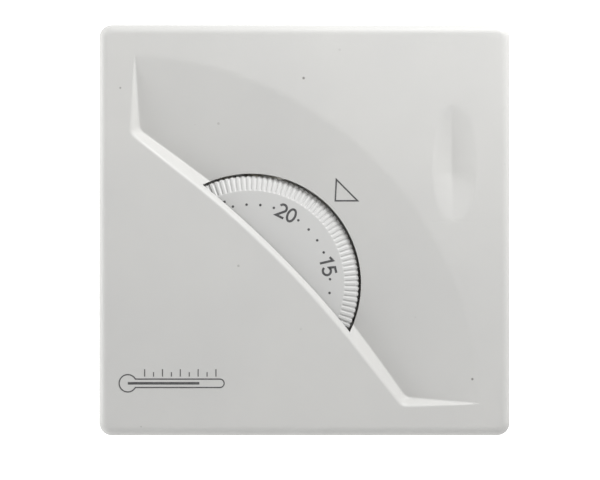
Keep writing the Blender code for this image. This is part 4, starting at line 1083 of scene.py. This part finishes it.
@dataclass
class Dial:
    """Temperature wheel: flat face, ribbed shoulder and skirt, web, hub with a flatted bore, stop lug."""

    centre: tuple[float, float]
    radius: float
    face: float
    back: float
    lug_angle: float
    lug_bottom: float
    hub_bottom: float
    rib_count: int = 122
    rib_width: float = 0.68 * MM
    rib_height: float = 0.2 * MM
    rib_margin: float = 0.35 * MM
    rib_edge: float = 0.22 * MM
    shoulder: float = 3.0 * MM
    drop: float = 1.35 * MM
    web: float = 1.9 * MM
    wall: float = 1.6 * MM
    hub: float = 4.2 * MM
    bore: float = 2.6 * MM
    flat: float = 2.0 * MM
    bore_depth: float = 5.3 * MM
    lug_circle: float = 9.3 * MM
    lug_width: float = 2.4 * MM
    lug_reach: float = 1.0 * MM
    samples: int = 10
    pieces: list[bpy.types.Object] = field(default_factory=list)

    def ribs(self, radius: Array, angle: Array) -> Array:
        """Share of a rib's height at each place.

        A rib is a bar with a round inner end: with s the distance round from its middle and p the
        distance inwards past its end, it is a soft step of (width / 2 - hypot(s, p)).

        Args:
            radius: Distances from the axis.
            angle: Angles round it.

        Returns:
            1 on the ribs, 0 between them.
        """
        turn = angle * self.rib_count / math.tau
        aside = (turn - np.round(turn)) * math.tau * radius / self.rib_count
        start = self.radius - self.shoulder + self.rib_margin
        past = np.maximum(start - radius, 0.0)
        return soft_step((self.rib_width / 2 - np.hypot(aside, past)) / self.rib_edge + 0.5)

    def shape(self, radius: Array, height: Array, angle: Array) -> tuple[Array, Array]:
        """Raise the ribs on the shoulder and skirt, flatten the bore and lower the lug.

        Args:
            radius: Distances from the axis, of the plain turned form.
            height: Heights of the plain turned form.
            angle: Angles round the axis.

        Returns:
            The new radii and heights.
        """
        sink = self.rib_height * (1.0 - self.ribs(np.minimum(radius, self.radius), angle))
        outer = radius > self.radius - self.shoulder - 0.3 * MM
        upper = outer & (height > self.face - self.drop - 0.05 * MM)
        outside = radius > self.radius - 0.25 * MM
        ease = soft_step((radius - (self.radius - self.shoulder)) / (0.3 * MM))
        height = height - np.where(upper, sink * ease, 0.0)
        radius = radius - np.where(outside, 0.6 * sink, 0.0)
        in_bore = np.abs(radius - self.bore) < 1e-6
        flat = self.flat / np.maximum(np.sin(angle), 1e-3)
        radius = np.where(in_bore, np.minimum(radius, flat), radius)
        away = np.abs((angle - self.lug_angle + math.pi) % math.tau - math.pi) * self.lug_circle
        reach = self.lug_reach + 0.001 * MM
        on_lug = (np.abs(radius - self.lug_circle) < reach) & (away < self.lug_width / 2)
        on_lug &= height < self.face - self.web + 1e-6
        return radius, np.where(on_lug, self.lug_bottom, height)

    def profile(self) -> list[tuple[float, float]]:
        """Plain turned profile, from the bottom of the bore outwards and over to the face's middle.

        Returns:
            (radius, height) pairs.
        """
        under = self.face - self.web
        skirt = self.radius - self.wall
        ease = 0.2 * MM
        bore_top = self.hub_bottom + self.bore_depth
        line = [(0.0, bore_top), (self.bore * 0.5, bore_top), (self.bore, bore_top),
                (self.bore, self.hub_bottom + ease), (self.bore + ease, self.hub_bottom),
                (self.hub - ease, self.hub_bottom), (self.hub, self.hub_bottom + ease),
                (self.hub, under - 2 * ease), (self.hub + 2 * ease, under)]
        foot = self.lug_reach + 0.05 * MM
        line += [(self.lug_circle + away, under) for away in (-foot, -self.lug_reach, self.lug_reach, foot)]
        line += [(skirt - self.shoulder, under), (skirt, under - self.drop / 2), (skirt, self.back + ease),
                 (skirt + ease, self.back), (self.radius - ease, self.back), (self.radius, self.back + ease)]
        start = self.radius - self.shoulder
        across = np.concatenate([[1.0, 0.985, 0.95, 0.88], np.linspace(0.8, 0.25, 8),
                                 np.linspace(0.2, 0.0, 6)])
        fall = self.drop * (0.78 * across + 0.22 * across ** 7)
        line.append((self.radius, self.face - self.drop - 0.5 * MM))
        line += list(zip(start + self.shoulder * across, self.face - fall))
        line += [(start - 0.12 * MM, self.face), (start - 0.3 * MM, self.face), (start - 1.2 * MM, self.face),
                 (start * 0.6, self.face), (start * 0.2, self.face), (0.0, self.face)]
        return line

    def build(self) -> None:
        """Make the wheel and dress it."""
        columns = self.rib_count * self.samples
        made = lathe("dial_moulding", self.centre, self.profile(), columns, self.shape, 55.0)
        self.pieces.append(dress(made, Finish.DIAL, "dial", ["dial_wheel"]))


# ---------------------------------------------------------------- print

@dataclass
class Print:
    """Printed marks: the scale on the wheel, the pointer and a small pictogram on the cover."""

    dial: Dial
    cover: Cover
    line_width: float = 0.32 * MM
    thickness: float = 0.03 * MM
    scale_radius: float = 16.0 * MM
    dot_radius: float = 0.27 * MM
    numeral_height: float = 3.0 * MM
    stroke_share: float = 0.165
    digit_pitch: float = 2.15 * MM
    first_angle: float = math.radians(13.2)
    step: float = math.radians(10.0)
    first_degree: int = 15
    degrees: tuple[int, int] = (5, 30)
    labelled: int = 5
    pieces: list[bpy.types.Object] = field(default_factory=list)

    def angle_of(self, degree: Array | float) -> Array | float:
        """Angle round the wheel of a temperature."""
        return self.first_angle + self.step * (degree - self.first_degree)

    def finish_piece(self, made: bpy.types.Object, body: str) -> None:
        """Ink a printed piece and let it ride on its body."""
        finish = Finish.DIAL if body == "dial" else Finish.COVER
        self.pieces.append(dress(made, finish, body, recipe=INK))

    def dots(self) -> None:
        """Dots of the unlabelled degrees: flat discs with a rounded edge, in one mesh.

        A point is centre of the dot + radius (cos a, sin a) at its ring's height, for every dot at once.
        """
        degrees = np.arange(self.degrees[0], self.degrees[1] + 1)
        degrees = degrees[degrees % self.labelled != 0]
        around = self.angle_of(degrees)
        centres = np.stack([self.dial.centre[0] + self.scale_radius * np.cos(around),
                            self.dial.centre[1] + self.scale_radius * np.sin(around)], axis=-1)
        rings = self.dot_radius * np.array([0.6, 1.0, 0.92, 0.5])
        heights = self.dial.face + self.thickness * np.array([-0.6, -0.6, 1.0, 1.0])
        sides = 20
        turn = np.linspace(0.0, math.tau, sides, endpoint=False)
        ring = rings[:, None, None] * np.stack([np.cos(turn), np.sin(turn)], axis=-1)[None]
        flat = centres[:, None, None, :] + ring[None]
        rise = np.broadcast_to(heights[None, :, None, None], (*flat.shape[:3], 1))
        points = np.concatenate([flat, rise], axis=-1).reshape(len(centres), -1, 3)
        ends = np.broadcast_to(heights[[0, -1]][None, :, None], (len(centres), 2, 1))
        poles = np.concatenate([np.repeat(centres[:, None, :], 2, axis=1), ends], axis=-1)
        points = np.concatenate([points, poles], axis=1)
        count = len(rings) * sides
        one = [grid_quads(len(rings), sides), fan(count, np.arange(sides), False),
               fan(count + 1, np.arange(count - sides, count), True)]
        shift = (count + 2) * np.arange(len(centres))[:, None, None]
        faces = [(block[None] + shift).reshape(-1, block.shape[1]) for block in one]
        self.finish_piece(make_object("scale_dots", points, faces), "dial")

    def strokes(self, digit: int) -> list[tuple[Array, bool]]:
        """Centre lines of a digit, 1 high and centred on x = 0.

        Args:
            digit: 0, 1, 2, 3 or 5.

        Returns:
            Each line's points, and whether it closes on itself.
        """
        low, high = 0.07, 0.93
        if digit == 0:
            turn = np.linspace(0.0, math.tau, 40, endpoint=False)
            return [(np.stack([0.255 * np.cos(turn), 0.5 + 0.43 * np.sin(turn)], axis=-1), True)]
        if digit == 1:
            return [(np.array([(-0.17, 0.74), (0.1, 0.9), (0.1, 0.0)]), False)]
        if digit == 2:
            top = bow((0.0, high - 0.25), (0.25, 0.25), 160.0, -38.0, 20)
            return [(np.concatenate([top, [(-0.24, low), (0.32, low)]]), False)]
        if digit == 3:
            upper = bow((-0.02, high - 0.2), (0.22, 0.2), 150.0, -70.0, 16)
            lower = bow((-0.02, low + 0.24), (0.27, 0.24), 70.0, -155.0, 20)
            return [(np.concatenate([upper, lower]), False)]
        bowl = bow((-0.02, low + 0.27), (0.28, 0.27), 130.0, -150.0, 24)
        return [(np.concatenate([[(0.25, high), (-0.15, high)], bowl]), False)]

    def numeral(self, degree: int) -> None:
        """Numeral of one temperature, set with its top outwards.

        A point of a digit at (x, y) goes to centre + (radius + y) outwards + x along, where outwards and
        along are the directions away from the axis and clockwise round it.

        Args:
            degree: The temperature.
        """
        angle = self.angle_of(degree)
        outwards = np.array([math.cos(angle), math.sin(angle)])
        along = np.array([math.sin(angle), -math.cos(angle)])
        size, digits = self.numeral_height, str(degree)
        for place, digit in enumerate(digits):
            shift = (place - (len(digits) - 1) / 2) * self.digit_pitch
            for path, closed in self.strokes(int(digit)):
                local = (path - np.array([0.0, 0.5])) * size + np.array([shift, 0.0])
                flat = np.array(self.dial.centre) + (self.scale_radius + local[:, 1:]) * outwards
                flat = flat + local[:, :1] * along
                self.ribbon(f"numeral_{degree}_{place + 1}", flat, closed, self.stroke_share * size,
                            on_dial=True)

    def ribbon(self, name: str, corners: Array | Sequence[tuple[float, float]], closed: bool = True,
               width: float | None = None, finest: float = 0.8 * MM, on_dial: bool = False) -> None:
        """Inked line along a path on the cover's front or on the wheel.

        A point is path + offset normal / cos(half the turn), at the front's height plus the offset's own
        lift, for offsets from one edge of the line to the other and back underneath.

        Args:
            name: The piece's name.
            corners: The path's corners.
            closed: Whether the path closes on itself.
            width: The line's width, or None for the usual one.
            finest: Longest step along the path.
            on_dial: Whether the line is on the wheel's face.
        """
        width = width or self.line_width
        path = np.array(corners)
        ends = np.concatenate([path[1:], path[:1]]) if closed else path[1:]
        starts = path if closed else path[:-1]
        counts = np.maximum(1, np.ceil(np.hypot(*(ends - starts).T) / finest)).astype(int)
        parts = [a + (b - a) * (np.arange(n) / n)[:, None] for a, b, n in zip(starts, ends, counts)]
        path = np.concatenate(parts if closed else parts + [path[-1:]])
        ahead = np.roll(path, -1, axis=0) - path
        behind = path - np.roll(path, 1, axis=0)
        if not closed:
            ahead[-1], behind[0] = behind[-1], ahead[0]
        ahead /= np.hypot(*ahead.T)[:, None]
        behind /= np.hypot(*behind.T)[:, None]
        normal = np.stack([-(ahead + behind)[:, 1], (ahead + behind)[:, 0]], axis=-1)
        normal /= np.hypot(*normal.T)[:, None]
        stretch = 1.0 / np.maximum(normal[:, 0] * -ahead[:, 1] + normal[:, 1] * ahead[:, 0], 0.3)
        offset = width / 2 * np.array([-1.0, -0.85, 0.85, 1.0])
        lift = self.thickness * np.array([-0.6, 1.0, 1.0, -0.6])
        flat = path[None] + (offset[:, None] * stretch[None])[..., None] * normal[None]
        if on_dial:
            under = np.full(flat.shape[:2], self.dial.face)
        else:
            under = self.cover.surface(flat[..., 0], flat[..., 1])
        height = under + lift[:, None]
        points = np.concatenate([flat, height[..., None]], axis=-1)
        columns = len(path)
        faces = [grid_quads(4, columns, wrap_rows=True, wrap_columns=closed)]
        if not closed:
            faces += [np.array([[0, 1, 2, 3]]) * columns, np.array([[3, 2, 1, 0]]) * columns + columns - 1]
        self.finish_piece(make_object(name, points, faces), "dial" if on_dial else "cover")

    def pointer(self) -> None:
        """Outlined triangle whose slanting side faces away from the wheel."""
        corners = np.array([(6.46, 10.25), (6.24, 5.95), (10.75, 5.95)]) * MM
        self.ribbon("pointer_mark", corners)

    def pictogram(self) -> None:
        """Outlined level thermometer with a tick scale."""
        left, right, middle = -37.4 * MM, -16.2 * MM, -30.9 * MM
        bulb, tube = 1.75 * MM, 0.85 * MM
        bulb_x = left + bulb
        start = math.asin(tube / bulb)
        turn = np.linspace(start, math.tau - start, 36)
        cap = np.linspace(-math.pi / 2, math.pi / 2, 14)
        round_bulb = np.stack([bulb_x + bulb * np.cos(turn), middle + bulb * np.sin(turn)], axis=-1)
        round_cap = np.stack([right - tube + tube * np.cos(cap), middle + tube * np.sin(cap)], axis=-1)
        self.ribbon("pictogram_outline", np.concatenate([round_bulb, round_cap]), width=0.26 * MM)
        self.ribbon("pictogram_column", [(bulb_x, middle), (right - 5.0 * MM, middle)], False, 0.55 * MM)
        foot = middle + tube + 0.5 * MM
        for k in range(9):
            x = bulb_x + 3.4 * MM + k * 1.8 * MM
            length = 1.5 * MM if k % 2 == 0 else 0.9 * MM
            self.ribbon(f"pictogram_tick_{k + 1}", [(x, foot), (x, foot + length)], False, 0.22 * MM)

    def build(self) -> None:
        """Print every mark."""
        self.dots()
        for degree in range(self.degrees[0], self.degrees[1] + 1, self.labelled):
            self.numeral(degree)
        self.pointer()
        self.pictogram()


# ---------------------------------------------------------------- inside

def eased(profile: Sequence[tuple[float, float]], ease: float, step: float) -> Array:
    """A profile with its corners rounded and its long stretches divided.

    Each corner c becomes c + (1 - t)^2 w a + t^2 w b for t of 0, 0.5 and 1, where a and b are the
    directions to its neighbours and w is the ease. Stretches are then divided evenly.

    Args:
        profile: (radius, height) pairs from axis to axis.
        ease: Length cut from each side of a corner.
        step: Longest stretch left undivided.

    Returns:
        Array of shape (points, 2).
    """
    line = np.array(profile)
    back, ahead = line[:-2] - line[1:-1], line[2:] - line[1:-1]
    lengths = [np.linalg.norm(side, axis=1, keepdims=True) for side in (back, ahead)]
    width = np.minimum(ease, 0.4 * np.minimum(*lengths))[:, None, :]
    t = np.array([0.0, 0.5, 1.0])[None, :, None]
    corners = (line[1:-1, None, :] + (1.0 - t) ** 2 * width * (back / lengths[0])[:, None, :]
               + t ** 2 * width * (ahead / lengths[1])[:, None, :])
    line = np.concatenate([line[:1], corners.reshape(-1, 2), line[-1:]])
    stretch = np.linalg.norm(np.diff(line, axis=0), axis=1)
    counts = np.ceil(stretch / step).astype(int)
    shares = np.concatenate([np.arange(count) / count for count in counts])
    first = np.repeat(np.arange(len(counts)), counts)
    divided = line[first] + shares[:, None] * (line[first + 1] - line[first])
    return np.concatenate([divided, line[-1:]])


@dataclass(frozen=True)
class Turned:
    """A turned piece: its profile over the underside of its node's box, with a thread, flats or a slot."""

    node: str
    profile: tuple[tuple[float, float], ...]
    ease: float = 0.15 * MM
    step: float = 0.6 * MM
    thread: float = 0.0
    pitch: float = 0.7 * MM
    thread_depth: float = 0.13 * MM
    slot_bottom: float = 0.0
    slot_below: bool = False
    slot_width: float = 0.8 * MM
    slot_turn: float = 0.6
    slot_edge: float = 0.12 * MM
    slot_share: float = 0.98
    flats: float = 0.0
    columns: int = 48

    def shape(self, radius: Array, height: Array, angle: Array) -> tuple[Array, Array]:
        """Cut the thread, the flats and the slot.

        The thread takes depth (1 - cos(2 pi height / pitch - angle)) / 2 off the threaded radius. The
        flats limit the radius to flats / cos(angle past the middle of a flat). The slot brings what
        stands past its bottom back to it, with steep sides.

        Args:
            radius: Distances from the axis.
            height: Heights out of the wall.
            angle: Angles round the axis.

        Returns:
            The new radii and heights.
        """
        if self.thread > 0.0:
            wave = 0.5 - 0.5 * np.cos(math.tau * height / self.pitch - angle)
            radius = radius - np.where(np.abs(radius - self.thread) < 1e-7, self.thread_depth * wave, 0.0)
        if self.flats > 0.0:
            sixth = math.tau / 6.0
            limit = self.flats / np.cos(angle % sixth - sixth / 2.0)
            radius = np.minimum(radius, limit)
        if self.slot_bottom > 0.0:
            level = wall_box(self.node)[0][2] + self.slot_bottom
            aside = np.abs(radius * np.sin(angle - self.slot_turn))
            share = soft_step((self.slot_width / 2.0 - aside) / self.slot_edge + 0.5)
            past = np.minimum(height - level, 0.0) if self.slot_below else np.maximum(height - level, 0.0)
            height = height - self.slot_share * past * share
        return radius, height

    def build(self, finish: Finish, body: str) -> bpy.types.Object:
        """Turn the piece and dress it.

        Args:
            finish: Its finish.
            body: The CAD body that it rides on.

        Returns:
            The dressed piece.
        """
        low = wall_box(self.node)[0][2]
        step = min(self.step, self.pitch / 7.0) if self.thread > 0.0 else self.step
        line = eased([(radius * MM, low + height * MM) for radius, height in self.profile], self.ease, step)
        cut = self.thread > 0.0 or self.slot_bottom > 0.0 or self.flats > 0.0
        made = lathe(self.node + "_turned", axis_of(self.node), line.tolist(), self.columns,
                     self.shape if cut else None)
        return dress(made, finish, body, [self.node])


def stepped(*steps: tuple[float, float], bore: float = 0) -> tuple[tuple[float, float], ...]:
    """Profile of a piece that goes up in steps.

    Args:
        steps: Radius and top of each step in millimetres, from the lowest.
        bore: Radius of the bore in millimetres.

    Returns:
        (radius, height) pairs.
    """
    line = [(bore, 0)]
    for radius, top in steps:
        line += [(radius, line[-1][1]), (radius, top)]
    return *line, (bore, line[-1][1])


TERMINAL_SCREW = ((0, 0), (1.4, 0), (1.4, 7.35), (2.5, 7.35), (2.5, 8.4), (1.95, 9.0), (0, 9.0))
BRIDGE_SCREW = ((0, 0), (1.15, 0), (1.15, 6.5), (2.5, 6.5), (2.5, 7.5), (1.95, 8.1), (0, 8.1))

TURNED = (
    Turned("capsule_button", ((0, 0), (1.6, 0), (3.2, 0.55), (3.2, 1.0), (0, 1.0))),
    Turned("capsule_stud", stepped((4.0, 1.05), (1.4, 4.2))),
    Turned("blade_rivet", stepped((0.7, 4.5), (1.5, 4.9)), 0.12 * MM),
    Turned("contact_nc", stepped((1.5, 0.45), (0.7, 1.4)), 0.12 * MM),
    Turned("contact_no", stepped((0.7, 0.95), (1.5, 1.4)), 0.12 * MM),
    Turned("limit_pin_low", stepped((1.0, 4.8))),
    Turned("limit_pin_high", stepped((1.0, 4.8))),
    Turned("switch_plunger", stepped((1.4, 2.35)), 0.3 * MM),
    Turned("bush_nut", stepped((6.93, 2.0), bore=4.8), 0.35 * MM, flats=6.0 * MM),
    Turned("calibration_nut", stepped((2.89, 1.6), bore=1.4), 0.25 * MM, flats=2.5 * MM),
    Turned("calibration_screw", stepped((1.2, 4.0)), 0.12 * MM, thread=1.2 * MM, pitch=0.45 * MM,
           thread_depth=0.1 * MM, slot_bottom=3.45 * MM, slot_width=0.5 * MM),
    *(Turned(f"terminal_screw_{k}", TERMINAL_SCREW, thread=1.4 * MM, slot_bottom=8.25 * MM)
      for k in (1, 2, 3)),
    *(Turned(f"bridge_screw_{k}", BRIDGE_SCREW, thread=1.15 * MM, slot_bottom=7.35 * MM)
      for k in ("upper", "lower")),
    *(Turned(f"block_screw_{k}", stepped((2.5, 1.3), (1.15, 7.7)), thread=1.15 * MM,
             slot_bottom=0.7 * MM, slot_below=True) for k in (1, 2)),
)

# Width of each node's edge breaks.
SOFTENED = {
    "base_plate": 0.18 * MM, "bridge_frame": 0.16 * MM, "switch_block": 0.2 * MM,
    "switch_lever": 0.14 * MM, "lever_pin": 0.15 * MM, "spindle_bush": 0.2 * MM,
    "dial_spindle": 0.2 * MM, "moving_contact": 0.1 * MM, "snap_blade": 0.05 * MM,
    "terminal_common": 0.1 * MM, "terminal_nc": 0.1 * MM, "terminal_no": 0.1 * MM,
    "wire_clamp_1": 0.12 * MM, "wire_clamp_2": 0.12 * MM, "wire_clamp_3": 0.12 * MM,
}



@dataclass
class Works:
    """Base plate, bridge, capsule, lever and switch: everything behind the cover and under the wheel."""

    finishes: dict[str, Finish]
    wave: float = 0.28 * MM
    skin: float = 0.45 * MM
    wire: float = 0.35 * MM
    wire_sides: int = 14
    turns: float = 5.0
    turn_steps: int = 40
    shell_columns: int = 128
    front_pitch: float = 3.4 * MM
    rear_middle: float = 3.5 * MM
    rear_pitch: float = 3.425 * MM
    merge: float = 0.002 * MM
    flatness: float = 0.5
    pieces: list[bpy.types.Object] = field(default_factory=list)

    def body(self, node: str) -> str:
        """The CAD body that a node belongs to."""
        return frame["nodes"][node].parent.name.split(":")[1]

    def keep(self, made: bpy.types.Object, node: str) -> None:
        """Dress a piece that stands for one node."""
        self.pieces.append(dress(made, self.finishes[node], self.body(node), [node]))

    def diaphragms(self) -> None:
        """The capsule's two corrugated shells.

        Each is a closed profile turned round the wheel's axis. The front one is a cup whose top sinks by
        wave (1 - cos(2 pi radius / pitch)) / 2 outside its flat middle, and the rear one is a disc that
        rises from its flat middle in the same way, by the height left over its skin.
        """
        low, high = wall_box("capsule_front")
        centre = axis_of("capsule_front")
        radius = (high[0] - low[0]) / 2.0
        r = np.linspace(0.0, radius - 1.2 * MM, 90)
        wave = self.wave * (0.5 - 0.5 * np.cos(math.tau * r / self.front_pitch)) * (r > self.front_pitch)
        top = high[2] - wave
        lip, side = 0.35 * MM, radius - self.skin
        inner = np.stack([r, top - self.skin], axis=-1)
        outer = np.stack([r, top], axis=-1)[::-1]
        rim = [(side - lip, inner[-1, 1]), (side, inner[-1, 1] - lip), (side, low[2]), (radius, low[2]),
               (radius, high[2] - 1.6 * lip), (radius - 0.4 * lip, high[2] - 0.6 * lip),
               (radius - 1.4 * lip, high[2])]
        line = [*inner.tolist(), *rim, *outer.tolist()]
        self.keep(lathe("capsule_front_shell", centre, line, self.shell_columns), "capsule_front")
        low, high = wall_box("capsule_rear")
        reach = (high[0] - low[0]) / 2.0
        r = np.linspace(0.0, reach, 110)
        rise = high[2] - low[2] - self.skin
        turn = math.tau * (r - self.rear_middle) / self.rear_pitch
        wave = rise * (0.5 - 0.5 * np.cos(turn)) * (r > self.rear_middle)
        under = np.stack([r, low[2] + wave], axis=-1)
        over = np.stack([r, low[2] + wave + self.skin], axis=-1)[::-1]
        line = [*under.tolist(), *over.tolist()]
        self.keep(lathe("capsule_rear_shell", centre, line, self.shell_columns), "capsule_rear")

    def coil(self) -> None:
        """The lever's spring, a fixed coil of round wire that fills its CAD node's box.

        A point is centre + (radius + wire cos b) (cos a, sin a) at climb(a) + wire sin b.
        """
        low, high = wall_box("lever_spring")
        centre = (low + high) / 2.0
        radius = (high[0] - low[0]) / 2.0 - self.wire
        t = np.linspace(0.0, 1.0, int(self.turns * self.turn_steps) + 1)[:, None]
        climb = low[2] + self.wire + (high[2] - low[2] - 2.0 * self.wire) * t
        a = math.tau * self.turns * t
        b = np.linspace(0.0, math.tau, self.wire_sides, endpoint=False)[None, :]
        away = radius + self.wire * np.cos(b)
        tube = np.stack([centre[0] + away * np.cos(a), centre[1] + away * np.sin(a),
                         climb + self.wire * np.sin(b)], axis=-1)
        middle = np.concatenate([centre[0] + radius * np.cos(a), centre[1] + radius * np.sin(a), climb],
                                axis=1)
        count = tube.shape[0] * tube.shape[1]
        ring = np.arange(self.wire_sides)
        points = np.concatenate([tube.reshape(-1, 3), middle[[0, -1]]])
        faces = [grid_quads(len(t), self.wire_sides)[:, ::-1], fan(count, ring, True),
                 fan(count + 1, ring + count - self.wire_sides, False)]
        self.keep(make_object("lever_spring_coil", points, faces, 50.0), "lever_spring")
        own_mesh(self.pieces[-1])

    def soften(self, node: str, width: float) -> None:
        """Give a pressed or moulded node its edge breaks, on a merged copy of its mesh.

        Args:
            node: The CAD node.
            width: Width of the edge break.
        """
        source = frame["nodes"][node]
        mesh = source.data.copy()
        mesh.transform(source.matrix_world)
        mesh.name = node + "_form"
        tidy(mesh, self.merge, self.flatness)
        made = link_object(node + "_form", mesh)
        mesh.set_sharp_from_angle(angle=math.radians(SHARP_ANGLE))
        bevel = made.modifiers.new("edge_break", "BEVEL")
        bevel.width = width
        bevel.segments = 2
        bevel.limit_method = "ANGLE"
        bevel.angle_limit = math.radians(SHARP_ANGLE)
        bevel.use_clamp_overlap = True
        self.keep(made, node)

    def build(self) -> None:
        """Make every piece of the works."""
        for piece in TURNED:
            self.pieces.append(piece.build(self.finishes[piece.node], self.body(piece.node)))
        self.diaphragms()
        self.coil()
        for node, width in SOFTENED.items():
            self.soften(node, width)


# ---------------------------------------------------------------- stage

@dataclass(frozen=True)
class Lamp:
    """Square soft light: where it stands, where it points, its side and its power in watts."""

    name: str
    place: tuple[float, float, float]
    aim: tuple[float, float, float]
    size: float
    power: float

    def build(self) -> None:
        """Set the light, turned so that it looks from its place to its aim."""
        light = bpy.data.lights.new(self.name, "AREA")
        light.size = self.size
        light.energy = self.power
        made = link_object(self.name, light)
        made.location = self.place
        away = np.array(self.place) - np.array(self.aim)
        across = math.hypot(away[0], away[1])
        made.rotation_euler = (math.atan2(across, away[2]), 0.0, math.atan2(away[0], -away[1]))


LAMPS = (
    Lamp("key", (0.115, -0.17, 0.225), (0.0, -0.03, 0.0), 0.17, 0.89),
    Lamp("fill", (-0.3, -0.062, 0.04), (-0.04, -0.02, 0.0), 0.2, 0.5),
)


@dataclass
class Stage:
    """Pale floor, soft light and the camera."""

    front: float
    distance: float = 1.0
    view_width: float = 121.1 * MM
    aside: float = -0.89 * MM
    below: float = -1.98 * MM
    floor_height: float = -0.16
    floor_half: float = 1.5
    floor_count: int = 9
    sensor: float = 36.0
    front_glow: float = 0.13
    side_glow: float = 1.6
    front_reach: float = -0.75
    end_share: float = 0.66

    def floor(self) -> None:
        """Level pale floor with a soft mottle, a grid of a few cells."""
        line = np.linspace(-self.floor_half, self.floor_half, self.floor_count)
        x, y = np.meshgrid(line, line)
        mesh = bpy.data.meshes.new("floor")
        points = np.stack([x, y, np.full_like(x, self.floor_height)], axis=-1).reshape(-1, 3)
        cells = grid_quads(self.floor_count, self.floor_count, wrap_columns=False)
        mesh.from_pydata(points.tolist(), [], cells.tolist())
        made = link_object("floor", mesh)
        nodes = Nodes("floor_paint")
        mottle = nodes.mix(nodes.noise(6.0), (0.88, 0.88, 0.88), (0.84, 0.84, 0.84))
        nodes.link(mottle, nodes.shader.inputs["Base Color"])
        nodes.shader.inputs["Roughness"].default_value = 0.8
        mesh.materials.append(nodes.material)

    def surround(self, tree: bpy.types.NodeTree) -> None:
        """White surround behind the object that grows dimmer towards its front.

        Args:
            tree: The world's node tree.
        """
        background = tree.nodes["Background"]
        background.inputs["Color"].default_value = (1.0, 1.0, 1.0, 1.0)
        place = tree.nodes.new("ShaderNodeTexCoord")
        split = tree.nodes.new("ShaderNodeSeparateXYZ")
        fade = tree.nodes.new("ShaderNodeMapRange")
        for name, number in (("From Min", self.front_reach), ("From Max", 0.0),
                             ("To Min", self.front_glow), ("To Max", self.side_glow)):
            fade.inputs[name].default_value = number
        size, dim, join = (tree.nodes.new("ShaderNodeMath") for _ in range(3))
        size.operation, dim.operation, join.operation = "ABSOLUTE", "MULTIPLY_ADD", "MULTIPLY"
        dim.inputs[1].default_value, dim.inputs[2].default_value = -self.end_share, 1.0
        tree.links.new(place.outputs["Generated"], split.inputs["Vector"])
        tree.links.new(split.outputs["Y"], fade.inputs["Value"])
        tree.links.new(split.outputs["Z"], size.inputs[0])
        tree.links.new(size.outputs["Value"], dim.inputs[0])
        tree.links.new(dim.outputs["Value"], join.inputs[0])
        tree.links.new(fade.outputs["Result"], join.inputs[1])
        tree.links.new(join.outputs["Value"], background.inputs["Strength"])

    def build(self) -> None:
        """Lay the floor and set the lights and the camera."""
        scene = bpy.context.scene
        self.floor()
        world = bpy.data.worlds.new("studio")
        world.use_nodes = True
        self.surround(world.node_tree)
        scene.world = world
        for lamp in LAMPS:
            lamp.build()
        camera = bpy.data.cameras.new("camera")
        camera.sensor_width = self.sensor
        camera.lens = self.sensor * self.distance / self.view_width
        camera.clip_start = 0.01
        made = link_object("camera", camera)
        made.location = (self.aside, -(self.front + self.distance), self.below)
        made.rotation_euler = (math.pi / 2, 0.0, 0.0)
        scene.camera = made
        scene.view_settings.view_transform = "Standard"


# ---------------------------------------------------------------- assembly

def slots() -> dict[str, str]:
    """The record's material slot of each CAD node."""
    return {part["node"]: part["material_slot"] for part in frame["record"]["subparts"]}


def joint(name: str) -> dict:
    """The record's entry for a joint."""
    return next(entry for entry in frame["record"]["behaviour"]["joints"] if entry["name"] == name)


def make_dial() -> Dial:
    """The wheel, placed and sized from its CAD node, the limit pins and its joint.

    Returns:
        The wheel, not yet built.
    """
    low, high = wall_box("dial_wheel")
    centre = axis_of("dial_wheel")
    pin_low, pin_high = wall_box("limit_pin_high")
    pin = (pin_low + pin_high) / 2
    circle = math.hypot(pin[0] - centre[0], pin[1] - centre[1])
    turn = math.radians(joint("dial_turn")["range_deg"][1])
    lug_half, play = 1.2 * MM, math.radians(1.0)
    reach = (lug_half + (pin_high[0] - pin_low[0]) / 2) / circle + play
    angle = math.atan2(pin[1] - centre[1], pin[0] - centre[0]) + turn + reach
    nut_top = wall_box("spindle_bush")[1][2]
    return Dial(centre, (high[0] - low[0]) / 2, high[2], SKIRT_BACK, angle, low[2], nut_top + 0.3 * MM,
                lug_circle=circle)


def main() -> None:
    """Build every sub-assembly."""
    logging.basicConfig(level=logging.INFO, format="%(message)s")
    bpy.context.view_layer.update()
    low, high = wall_box("front_cover")
    dial = make_dial()
    cover = Cover(high[0], low[2], high[2], dial.centre, dial.radius + WHEEL_GAP)
    rebuilt = ("front_cover", "dial_wheel")
    finishes = {node: Finish(slot) for node, slot in slots().items() if node not in rebuilt}
    parts = [cover, dial, Print(dial, cover), Works(finishes)]
    for part in parts:
        part.build()
        for piece in part.pieces:
            log.info("%s: %s, %d faces", type(part).__name__, piece.name, len(piece.data.polygons))
    Stage(cover.front).build()


if __name__ == "__main__":
    main()
